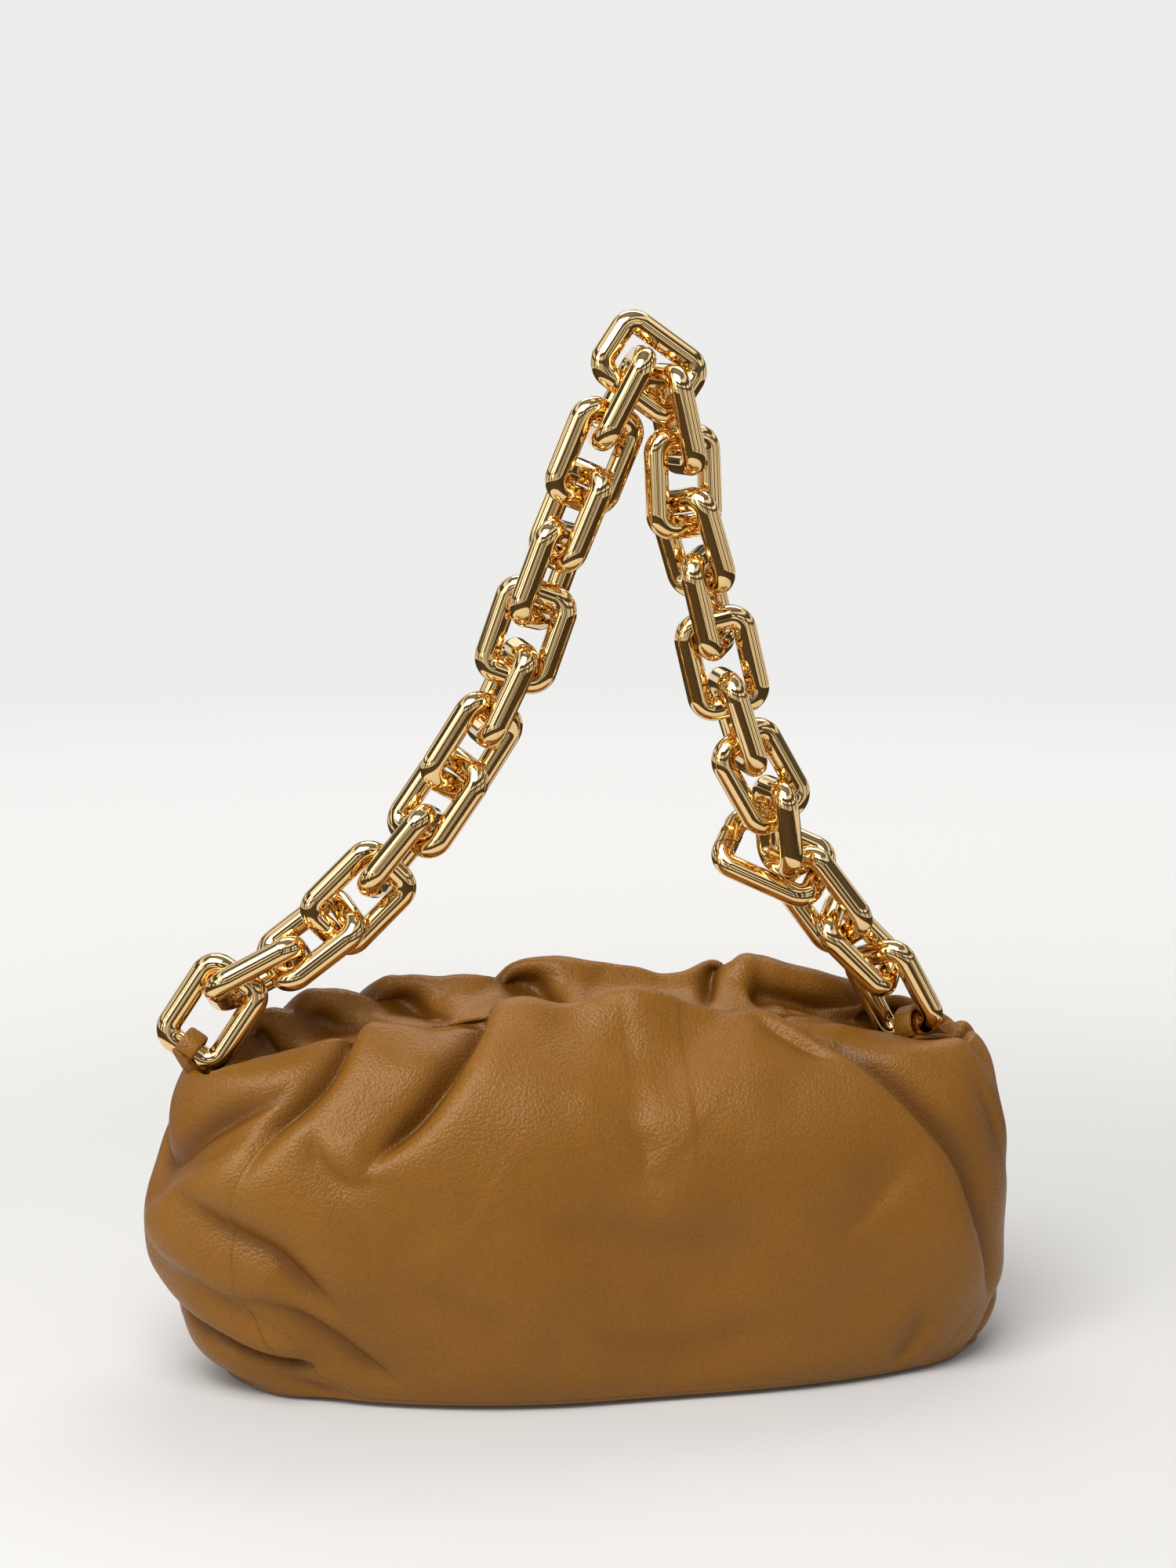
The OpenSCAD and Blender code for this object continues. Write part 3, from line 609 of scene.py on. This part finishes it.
def nearest(line, around, up):
    """How far off a line these places are, on which side, at which share of it, and the way to it."""
    legs = np.diff(line, axis=0)
    length = np.linalg.norm(legs, axis=1)
    run = np.concatenate([[0.0], np.cumsum(length)])
    best = np.full(around.shape, np.inf)
    side, share, to_around, to_up = (np.zeros(around.shape) for _ in range(4))
    for i, (leg, start) in enumerate(zip(legs, line)):
        right, above = around - start[0], up - start[1]
        part = np.clip((right * leg[0] + above * leg[1]) / length[i] ** 2, 0, 1)
        off_right, off_above = right - part * leg[0], above - part * leg[1]
        off = np.hypot(off_right, off_above)
        nearer = off < best
        best = np.where(nearer, off, best)
        to_around = np.where(nearer, -off_right, to_around)
        to_up = np.where(nearer, -off_above, to_up)
        side = np.where(nearer, np.sign(leg[0] * above - leg[1] * right), side)
        share = np.where(nearer, (run[i] + part * length[i]) / run[-1], share)
    return best, side, share, to_around, to_up


def fold_height(around, up):
    """How far the folds lift the skin at these places, and how far their lips lean around and up."""
    total, lean_around, lean_up = (np.zeros(around.shape) for _ in range(3))
    for points, depth, roll, width, fade_in, fade_out in FOLDS:
        line = line_through(points)
        low, high = line.min(0) - FOLD_REACH * width, line.max(0) + FOLD_REACH * width
        for shift in (-GIRTH, 0.0, GIRTH):
            turned = around + shift
            near = (turned > low[0]) & (turned < high[0]) & (up > low[1]) & (up < high[1])
            if not near.any():
                continue
            best, side, share, to_around, to_up = nearest(line, turned[near], up[near])
            fade = eased(share / fade_in) * eased((1 - share) / fade_out)
            off = best / (width * (FADED_WIDTH + FADING_WIDTH * fade))
            groove = -depth * np.exp(-GROOVE_FALL * (np.sqrt(off ** 2 + GROOVE_ROUND) - GROOVE_TOP))
            bulge = ROLL_GAIN * abs(roll) * off ** 2 / (ROLL_START + off ** 2) * np.exp(-ROLL_FALL * off)
            rolled = side * roll > 0
            total[near] += fade * (groove + np.where(rolled, bulge, 0))
            lean = LEAN * abs(roll) * fade * off * np.exp(-LEAN_FALL * off) / LEAN_TOP
            lean = np.where(rolled, lean, 0) / (best + LEAN_ROUND)
            lean_around[near] += lean * to_around
            lean_up[near] += lean * to_up
    return total, lean_around, lean_up


def slack(points, around, up):
    """Broad soft waves of slack leather, and small gathers towards the mouth."""
    draw = np.random.default_rng(WAVE_SEED)
    waves = np.zeros(around.shape)
    for span, lift, count in WAVES:
        for _ in range(count):
            way = draw.normal(size=3) * np.array(WAVE_STRETCH)
            way *= 2 * math.pi / span / np.linalg.norm(way)
            waves += lift * np.sin(points @ way + draw.uniform(0, 2 * math.pi)) / math.sqrt(count) * WAVE_GAIN
    pull = rising(up, *GATHERED_FROM) * (1 - 0.5 * rising(up, *GATHERED_LESS))
    turn = 2 * math.pi * around / GIRTH
    ends = np.exp(-((np.abs(around) - END_PLACE) / END_WIDTH) ** 2)
    wander = 2.2 * np.sin(5 * turn) + 3.1 * np.sin(2 * turn + 1.3) + 0.012 * (LEVELS[-1][UNROLLED] - up)
    gathers = np.sin(GATHERS * turn + wander) + 0.5 * np.sin(FINE_GATHERS * turn - wander)
    return waves * rising(up, *WAVY_FROM) * (1 - 0.6 * pull) + gathers * pull * (0.10 + 0.55 * ends)


def smooth_skin(around, rows):
    """The skin without its folds."""
    angle = np.interp((around - RUN[0]) % GIRTH + RUN[0], RUN, FULL_TURN)
    return between([ring(level, angle) for level in range(len(LEVELS))], rows)


def unrolled(rows):
    """The unrolled height of these level numbers."""
    return between([np.full((1, 1), row[UNROLLED]) for row in LEVELS], rows)[:, 0]


def skin(around, rows, inset):
    """Points in millimetres, fold measure and outward direction of the skin, so far inside it.

    around holds places along the belly for each row and column, rows the level number of each row."""
    smooth = smooth_skin(around, rows)
    up = unrolled(rows)[:, None] + np.zeros(around.shape)
    across = unit(smooth_skin(around + 0.5, rows) - smooth_skin(around - 0.5, rows))
    upward = unit(np.gradient(smooth, axis=0))
    outward = unit(np.cross(across, upward))
    lift, lean_around, lean_up = fold_height(around, up)
    fades = falling(up, *FOLDED_TO) * rising(up, *FOLDED_FROM)
    points = smooth + outward * (fades * lift + slack(smooth, around, up) - inset)[..., None]
    points += fades[..., None] * (across * lean_around[..., None] + upward * lean_up[..., None])
    points[..., 2] = np.maximum(points[..., 2], FLOOR_ROOM + inset)
    return points, np.clip(0.5 + lift / FOLD_MEASURE, 0, 1), outward


def whole_round(step, rows):
    """Places all round the bag, one row for each level."""
    count = int(GIRTH / step)
    return np.tile(np.linspace(RUN[0], RUN[-1], count), (len(rows), 1))


def front_span(step, rows):
    """Places across the front leather, from its left edge to its right one."""
    up = unrolled(rows)
    left, right = along(up, FRONT_LEFT), along(up, FRONT_RIGHT)
    share = np.linspace(0, 1, int(np.max(right - left) / step))
    return left[:, None] + (right - left)[:, None] * share


def under_front(around, rows):
    """How deep inside the front leather's outline a place lies, negative outside."""
    up = unrolled(rows)[:, None]
    inside = np.minimum(around - along(up, FRONT_LEFT), along(up, FRONT_RIGHT) - around)
    return np.minimum(inside, up - FRONT_FOOT)


def spaced(rows):
    """Level numbers from (level, steps to the next) rows."""
    out = []
    for (level, steps), (after, _) in zip(rows, rows[1:]):
        out += [level + (after - level) * i / steps for i in range(steps)]
    return np.array(out + [rows[-1][0]])


# Pieces
def settle(name, bm, maker, smooth_faces=True):
    """Makes a finished object at the origin from a mesh whose coordinates are in metres."""
    mesh = bpy.data.meshes.new(name)
    bm.to_mesh(mesh)
    bm.free()
    mesh.polygons.foreach_set("use_smooth", [smooth_faces] * len(mesh.polygons))
    mesh.materials.append(finish(maker))
    piece = bpy.data.objects.new(name, mesh)
    bpy.context.scene.collection.objects.link(piece)
    return piece


def dress(node, maker):
    """Gives a CAD node its finished material."""
    mesh = frame["nodes"][node].data
    if not mesh.materials:
        mesh.materials.append(None)
    for i in range(len(mesh.materials)):
        mesh.materials[i] = finish(maker)


def turn_in(bm, edge):
    """Turns the rim of a sheet inwards by this much."""
    bm.normal_update()
    rim = [e for e in bm.edges if e.is_boundary]
    turned = bmesh.ops.extrude_edge_only(bm, edges=rim)
    for vert in [g for g in turned["geom"] if isinstance(g, bmesh.types.BMVert)]:
        mate = [e.other_vert(vert) for e in vert.link_edges if not e.is_boundary]
        if mate:
            vert.co = mate[0].co - mate[0].normal * edge
    bm.normal_update()


def skin_piece(name, places, rows, maker, inset=0.0, edge=0.0, window=False, inward=False):
    """A patch of the gathered skin over these places and levels. A window leaves room for the front."""
    bm = bmesh.new()
    ny, nx = places.shape
    bmesh.ops.create_grid(bm, x_segments=nx - 1, y_segments=ny - 1, size=1.0)
    bm.verts.ensure_lookup_table()
    at = np.array([v.co for v in bm.verts])
    column = np.rint((at[:, 0] + 1) / 2 * (nx - 1)).astype(int)
    row = np.rint((at[:, 1] + 1) / 2 * (ny - 1)).astype(int)
    points, fold, outward = skin(places, rows, inset)
    deep = under_front(places, rows) if window else np.full(places.shape, -1.0)
    points = points - outward * (TUCK_DEPTH * eased(deep / TUCK))[..., None]
    points, fold, deep = points[row, column], fold[row, column], deep[row, column]
    layer = bm.verts.layers.float.new("fold")
    for vert, point, value in zip(bm.verts, points * MM, fold):
        vert.co = point
        vert[layer] = value
    bmesh.ops.delete(bm, geom=[v for v, d in zip(list(bm.verts), deep) if d > TUCK], context="VERTS")
    bmesh.ops.remove_doubles(bm, verts=bm.verts, dist=SAME_PLACE)
    for _ in range(SMOOTHINGS):
        inner = [v for v in bm.verts if not v.is_boundary]
        bmesh.ops.smooth_vert(bm, verts=inner, factor=0.5, use_axis_x=True, use_axis_y=True, use_axis_z=True)
    bmesh.ops.recalc_face_normals(bm, faces=bm.faces)
    rearmost = max(bm.faces, key=lambda face: face.calc_center_median().y)
    if (rearmost.normal.y < 0) != inward:
        bmesh.ops.reverse_faces(bm, faces=bm.faces)
    if edge:
        turn_in(bm, edge)
    return settle(name, bm, maker)


class POUCH_OT_leather(bpy.types.Operator):
    """The gathered leather of the pouch: rear, ends and base, and the front up to the mouth frame"""
    bl_idname = "pouch.leather"
    bl_label = "Gathered leather"
    bl_options = {"REGISTER", "UNDO"}

    def execute(self, context):
        edge = settings().leather.edge
        rows = spaced(BODY_ROWS)
        body = skin_piece("pouch_leather", whole_round(BODY_STEP, rows), rows, leather_finish,
                          edge=edge, window=True)
        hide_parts("leather_shell")
        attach(body, "pouch")
        rows = spaced(FRONT_ROWS)
        front = skin_piece("front_leather", front_span(FRONT_STEP, rows), rows, leather_finish,
                           edge=edge)
        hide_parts("front_panel")
        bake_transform(front)
        rows = np.linspace(*GUSSET_LEVELS, GUSSET_GRID[0])
        up = unrolled(rows)[:, None]
        for side, (from_x, to_x) in GUSSETS.items():
            if side == "left":
                places = along(up, FRONT_LEFT) + np.linspace(*GUSSET_REACH, GUSSET_GRID[1])
            else:
                places = along(up, FRONT_RIGHT) - np.linspace(*GUSSET_REACH[::-1], GUSSET_GRID[1])
            gusset = skin_piece(f"{side}_gusset", places, rows, leather_finish,
                                inset=GUSSET_INSET)
            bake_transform(gusset)
        return {"FINISHED"}


class POUCH_OT_lining(bpy.types.Operator):
    """The woven lining behind the leather, and the slip pocket on its rear wall"""
    bl_idname = "pouch.lining"
    bl_label = "Lining and pocket"
    bl_options = {"REGISTER", "UNDO"}

    def execute(self, context):
        rows = spaced(BODY_ROWS)[::2]
        rows = rows[rows < LINING_TOP]
        body = skin_piece("pouch_lining", whole_round(BODY_LINING_STEP, rows), rows, lining_finish,
                          inset=BODY_LINING_INSET, window=True, inward=True)
        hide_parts("lining")
        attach(body, "pouch")
        rows = spaced(FRONT_ROWS)[::2]
        rows = rows[rows < LINING_TOP]
        up = unrolled(rows)[:, None]
        inset = FRONT_LINING_INSET + BEND_SLACK * rising(up, *SLACK_FROM) * falling(up, *SLACK_TO)
        front = skin_piece("front_lining", front_span(FRONT_LINING_STEP, rows), rows, lining_finish,
                           inset=inset, inward=True)
        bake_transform(front)
        rows = np.linspace(*POCKET_LEVELS, POCKET_GRID[0])
        half = 0.5 * GIRTH
        places = np.linspace(half - POCKET_HALF, half + POCKET_HALF, POCKET_GRID[1])
        pocket = skin_piece("slip_pocket_cloth", np.tile(places, (len(rows), 1)), rows, lining_finish,
                            inset=POCKET_INSET, edge=POCKET_EDGE, inward=True)
        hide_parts("slip_pocket")
        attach(pocket, "pouch")
        return {"FINISHED"}


class POUCH_OT_chain(bpy.types.Operator):
    """The gold finish of the strap, its clasp and the rivets, which keep their CAD shapes"""
    bl_idname = "pouch.chain"
    bl_label = "Chain links"
    bl_options = {"REGISTER", "UNDO"}

    def execute(self, context):
        links = sorted(node for node in frame["nodes"] if "link" in node or "ring" in node)
        for node in ("clasp_body", "clasp_gate", "gate_pin", "tab_rivets", *links):
            dress(node, gold_finish)
        return {"FINISHED"}


class POUCH_OT_frame(bpy.types.Operator):
    """The steel mouth frame, its pins, its magnets and the stiff base board"""
    bl_idname = "pouch.frame"
    bl_label = "Mouth frame"
    bl_options = {"REGISTER", "UNDO"}

    def execute(self, context):
        for node in ("rear_frame", "front_frame", "pivot_pins"):
            dress(node, steel_finish)
        for node in ("rear_magnets", "front_magnets"):
            dress(node, magnet_finish)
        dress("base_board", board_finish)
        return {"FINISHED"}


# Each tab: the middle of the ring's bar, the ring's heading and roll in degrees, and the rivet's place
TABS = {
    "left": ((-151.5, 0.0, 127.0), 56.0, -18.0, (-149.0, 117.0)),
    "right": ((128.0, 0.0, 122.0), 118.0, -44.0, (139.2, 117.0)),
}
# A tab's leather: its radius round the bar, width, thickness, and half the space between its feet
TAB_RADIUS, TAB_WIDTH, TAB_THICK, TAB_SEAM = 6.8, 7.6, 2.2, 1.6
# How far it goes past half a turn (radians), the points of that turn, how far its feet reach below the rivet
# and turn with the ring there, and the powers that square its section
TAB_PAST, TAB_POINTS, TAB_FOOT, TAB_TWIST, TAB_SQUARE = 0.35, 25, 6, 0.3, (0.35, 0.7)
# Steps from each of its points to the next, and round its section
TAB_STEPS, TAB_SIDES = 3, 20


def tab_lines(bar, heading, roll, rivet):
    """The middle line of a tab, and the directions of its width and its thickness along it."""
    turn = (Matrix.Translation(bar) @ Matrix.Rotation(-math.radians(heading), 4, "Y")
            @ Matrix.Rotation(math.radians(90 + roll), 4, "X"))
    width = turn.to_3x3() @ Vector((0, 1, 0))
    loop = [turn @ Vector((TAB_RADIUS * math.sin(angle), 0, -TAB_RADIUS * math.cos(angle)))
            for angle in np.linspace(-TAB_PAST, math.pi + TAB_PAST, TAB_POINTS)]
    if loop[0].y > loop[-1].y:
        loop.reverse()
    if width.x < 0:
        width = -width

    def foot(side, drop):
        return Vector((rivet[0], side * TAB_SEAM, rivet[1] - drop))

    path = [foot(-1, TAB_FOOT), foot(-1, 0), *loop, foot(1, 0), foot(1, TAB_FOOT)]
    share = [0.0, TAB_TWIST, *[1.0] * len(loop), TAB_TWIST, 0.0]
    path = line_through([tuple(p) for p in path], TAB_STEPS)
    share = np.interp(np.linspace(0, 1, len(path)), np.linspace(0, 1, len(share)), share)
    sides = np.outer(share, width) + np.outer(1 - share, (1, 0, 0))
    sides /= np.linalg.norm(sides, axis=1, keepdims=True)
    ahead = np.gradient(path, axis=0)
    ahead /= np.linalg.norm(ahead, axis=1, keepdims=True)
    out = np.cross(ahead, sides)
    out /= np.linalg.norm(out, axis=1, keepdims=True)
    return path, sides, out


def powered(value, power):
    """A power of a number's size, with its sign kept."""
    return math.copysign(abs(value) ** power, value)


def tab_piece(name, *place):
    """A strap of leather from the rear rivet pad, round the ring's bar and down to the front pad."""
    path, sides, out = tab_lines(*place)
    bm = bmesh.new()
    bmesh.ops.create_grid(bm, x_segments=TAB_SIDES, y_segments=len(path) - 1, size=1.0)
    for vert in bm.verts:
        angle = (vert.co.x + 1) * math.pi
        row = round((vert.co.y + 1) / 2 * (len(path) - 1))
        wide = powered(math.cos(angle), TAB_SQUARE[0]) * TAB_WIDTH / 2
        thick = powered(math.sin(angle), TAB_SQUARE[1]) * TAB_THICK / 2
        vert.co = Vector(path[row] + sides[row] * wide + out[row] * thick) * MM
    bmesh.ops.remove_doubles(bm, verts=bm.verts, dist=SAME_PLACE)
    bmesh.ops.holes_fill(bm, edges=[e for e in bm.edges if e.is_boundary], sides=0)
    bmesh.ops.recalc_face_normals(bm, faces=bm.faces)
    return settle(name, bm, plain_leather_finish)


class POUCH_OT_tabs(bpy.types.Operator):
    """The leather tabs that hold the end rings, each one folded round its ring's bar"""
    bl_idname = "pouch.tabs"
    bl_label = "Ring tabs"
    bl_options = {"REGISTER", "UNDO"}

    def execute(self, context):
        for side, place in TABS.items():
            piece = tab_piece(f"{side}_tab_leather", *place)
            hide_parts(f"{side}_tab")
            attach(piece, "pouch")
        return {"FINISHED"}


# Studio

# The floor: its radius, and how far it lies under the bag, in metres
FLOOR_RADIUS, FLOOR_BELOW = 14.0, 0.0002
# Where the floor dims, where it glows as the backdrop does, and the colour of that glow
DIM_FROM, DIM_TO, GLOW_FROM, GLOW_TO, GLOW = 0.50, 1.60, 0.30, 1.50, (0.850, 0.845, 0.832)
BLACK = (0.0, 0.0, 0.0)
# Each light: name, place, what it is turned to, size, watts and colour
LIGHTS = (
    ("overhead", (-0.50, -0.75, 1.50), (0, 0, 0.1), (1.1, 0.9), 24.0, (1.0, 0.985, 0.96)),
    ("left_window", (-1.7, -0.9, 0.95), (0, 0, 0.15), (0.9, 1.4), 9.0, (0.98, 0.99, 1.0)),
    ("back_top", (0.3, 0.9, 1.5), (0, 0, 0.1), (1.4, 0.6), 9.0, (1.0, 0.985, 0.96)),
)
# Each dark card: azimuth seen from the object, distance, width, low edge, high edge (degrees and metres)
CARDS = (
    (-20, 1.9, 0.13, 0.0, 2.0), (-10, 1.9, 0.22, 0.0, 1.7), (2, 1.9, 0.34, 0.0, 1.6),
    (15, 1.9, 0.17, 0.0, 2.1), (-34, 1.9, 0.20, 0.0, 2.0), (-50, 1.9, 0.09, 0.0, 2.2),
    (-66, 1.9, 0.30, 0.0, 1.9), (-92, 1.9, 0.45, 0.0, 1.7), (29, 1.9, 0.08, 0.0, 2.2),
    (42, 1.9, 0.34, 0.0, 1.6), (60, 1.9, 0.12, 0.0, 2.2), (80, 1.9, 0.40, 0.0, 2.0),
    (106, 2.0, 0.34, 0.0, 1.8), (-118, 2.0, 0.30, 0.0, 1.8), (135, 2.2, 0.34, 0.0, 1.8),
    (-145, 2.2, 0.34, 0.0, 1.8), (165, 2.2, 0.34, 0.0, 1.6),
)
# The dark card on the floor round the object: inner and outer radius, and its height
CARD_INNER, CARD_OUTER, CARD_HEIGHT = 0.42, 1.6, 0.0005
# The sky's bands, which draw the stripes in the gold: height (0 at the horizon, 1 overhead) and brightness,
# or None for the backdrop's glow. Its two ends come first.
SKY_BANDS = (
    (0.0, None), (1.0, 0.5), (0.11, None), (0.14, 0.2), (0.24, 0.2), (0.27, 2.3), (0.38, 2.1), (0.42, 0.15),
    (0.60, 0.2), (0.64, 2.0), (0.76, 1.4), (0.82, 0.2),
)
CAMERA_AZIMUTH, CAMERA_ELEVATION = -11.0, 11.0
CAMERA_DISTANCE, CAMERA_AIM = 1.300, (0.0, 0.0, 0.222)
SENSOR, FOCAL_PIXELS, FRAME_PIXELS = 36.0, 4420.0, 2000.0


def floor_finish():
    """A pale floor that passes into the backdrop's glow far from the bag."""
    floor = Finish("studio_floor")
    place = floor.place()
    cloud = floor.noise(place, scale=1.3, detail=2.0)
    fine = floor.noise(place, scale=40.0, detail=3.0)
    pale = settings().studio.floor
    away = floor.node("ShaderNodeVectorMath", {"operation": "LENGTH"}, (place,), output="Value")
    colour = floor.mix(away.above(DIM_FROM, DIM_TO), floor.mix(cloud, toned(pale, 0.985), pale), BLACK)
    return floor.set(Base_Color=colour, Roughness=0.55 + 0.1 * fine, Specular_IOR_Level=0.0,
                     Emission_Color=floor.mix(away.above(GLOW_FROM, GLOW_TO), BLACK, GLOW),
                     Emission_Strength=1.0)


def card_finish():
    card = Finish("dark_card")
    felt = card.noise(card.place(), scale=20.0, detail=2.0)
    return card.set(Base_Color=card.mix(felt, (0.05, 0.036, 0.022), (0.07, 0.05, 0.03)),
                    Roughness=0.9 + 0.05 * felt, Specular_IOR_Level=0.0)


def build_floor():
    bm = bmesh.new()
    bmesh.ops.create_circle(bm, cap_ends=True, segments=96, radius=FLOOR_RADIUS)
    bmesh.ops.translate(bm, verts=bm.verts, vec=(0, 0, -FLOOR_BELOW))
    floor = settle("studio_floor", bm, floor_finish, smooth_faces=False)


def area_light(name, place, aim, size, watts, colour):
    data = bpy.data.lights.new(name, "AREA")
    data.shape = "RECTANGLE"
    data.size, data.size_y = size
    data.energy = watts
    data.color = colour
    light = bpy.data.objects.new(name, data)
    light.location = place
    light.rotation_euler = (Vector(aim) - Vector(place)).to_track_quat("-Z", "Y").to_euler()
    light.visible_camera = False
    bpy.context.scene.collection.objects.link(light)


def build_sky(world):
    """A bright band at the horizon, as a white backdrop gives, and darker and brighter bands above it."""
    ceiling = settings().studio.ambient
    stops = [(height, GLOW if bright is None else [bright * ceiling] * 3) for height, bright in SKY_BANDS]
    sky = Nodes(world.node_tree)
    place = sky.node("ShaderNodeTexCoord", output="Generated")
    height = sky.node("ShaderNodeSeparateXYZ", {}, (place,), output="Z")
    bands = sky.node("ShaderNodeValToRGB", {"stops": stops}, (height,))
    sky.link_or_set(bands, sky.tree.nodes["Background"].inputs["Color"])


def stand_card(name, bm):
    """A card that only reflections see."""
    card = settle(name, bm, card_finish, smooth_faces=False)
    card.visible_camera = card.visible_diffuse = card.visible_shadow = False


def build_cards():
    for i, (azimuth, away, width, low, high) in enumerate(CARDS):
        bm = bmesh.new()
        bmesh.ops.create_grid(bm, x_segments=1, y_segments=1, size=0.5)
        bmesh.ops.scale(bm, verts=bm.verts, vec=(width, high - low, 1))
        bmesh.ops.rotate(bm, verts=bm.verts, matrix=Matrix.Rotation(math.pi / 2, 3, "X"))
        bmesh.ops.translate(bm, verts=bm.verts, vec=(0, -away, (low + high) / 2))
        bmesh.ops.rotate(bm, verts=bm.verts, matrix=Matrix.Rotation(math.radians(azimuth), 3, "Z"))
        stand_card(f"dark_card_{i}", bm)
    bm = bmesh.new()
    bmesh.ops.create_circle(bm, cap_ends=False, segments=64, radius=CARD_INNER)
    outer = bmesh.ops.extrude_edge_only(bm, edges=bm.edges)["geom"]
    outer = [g for g in outer if isinstance(g, bmesh.types.BMVert)]
    grow = CARD_OUTER / CARD_INNER
    bmesh.ops.scale(bm, verts=outer, vec=(grow, grow, 1))
    bmesh.ops.translate(bm, verts=bm.verts, vec=(0, 0, CARD_HEIGHT))
    stand_card("dark_card_floor", bm)


def build_lights():
    scene = bpy.context.scene
    world = bpy.data.worlds.new("studio")
    world.use_nodes = True
    build_sky(world)
    scene.world = world
    scene.view_settings.view_transform = "Standard"
    for light in LIGHTS:
        area_light(*light)
    build_cards()


def build_camera():
    around, up = math.radians(CAMERA_AZIMUTH), math.radians(CAMERA_ELEVATION)
    back = Vector((math.sin(around) * math.cos(up), -math.cos(around) * math.cos(up), math.sin(up)))
    data = bpy.data.cameras.new("camera")
    data.sensor_fit = "AUTO"
    data.sensor_width = SENSOR
    data.lens = SENSOR * FOCAL_PIXELS / FRAME_PIXELS
    camera = bpy.data.objects.new("camera", data)
    camera.location = Vector(CAMERA_AIM) + back * CAMERA_DISTANCE
    camera.rotation_euler = (-back).to_track_quat("-Z", "Y").to_euler()
    bpy.context.scene.collection.objects.link(camera)
    bpy.context.scene.camera = camera


class POUCH_OT_studio(bpy.types.Operator):
    """The pale floor, the soft lights with their dark cards, and the camera"""
    bl_idname = "pouch.studio"
    bl_label = "Studio and camera"
    bl_options = {"REGISTER", "UNDO"}

    def execute(self, context):
        build_floor()
        build_lights()
        build_camera()
        return {"FINISHED"}


class POUCH_PT_panel(bpy.types.Panel):
    """Lists the pouch's settings and its pieces"""
    bl_label = "Gathered pouch"
    bl_idname = "POUCH_PT_panel"
    bl_space_type = "VIEW_3D"
    bl_region_type = "UI"
    bl_category = "Pouch"

    def draw(self, context):
        look = context.scene.pouch_look
        for group in (look.leather, look.metal, look.cloth, look.studio):
            for name in type(group).__annotations__:
                self.layout.prop(group, name)
        for operator in PIECES:
            self.layout.operator(operator.bl_idname)


PIECES = (POUCH_OT_leather, POUCH_OT_lining, POUCH_OT_chain, POUCH_OT_frame, POUCH_OT_tabs, POUCH_OT_studio)
CLASSES = (LeatherSettings, MetalSettings, ClothSettings, StudioSettings, PouchLook, *PIECES, POUCH_PT_panel)


def register():
    for cls in CLASSES:
        bpy.utils.register_class(cls)
    bpy.types.Scene.pouch_look = bpy.props.PointerProperty(
        name="Pouch", description="Settings of the pouch and its studio", type=PouchLook)


def unregister():
    del bpy.types.Scene.pouch_look
    for cls in reversed(CLASSES):
        bpy.utils.unregister_class(cls)


def main():
    register()
    for operator in PIECES:
        group, name = operator.bl_idname.split(".")
        getattr(getattr(bpy.ops, group), name)()


if __name__ == "__main__":
    main()
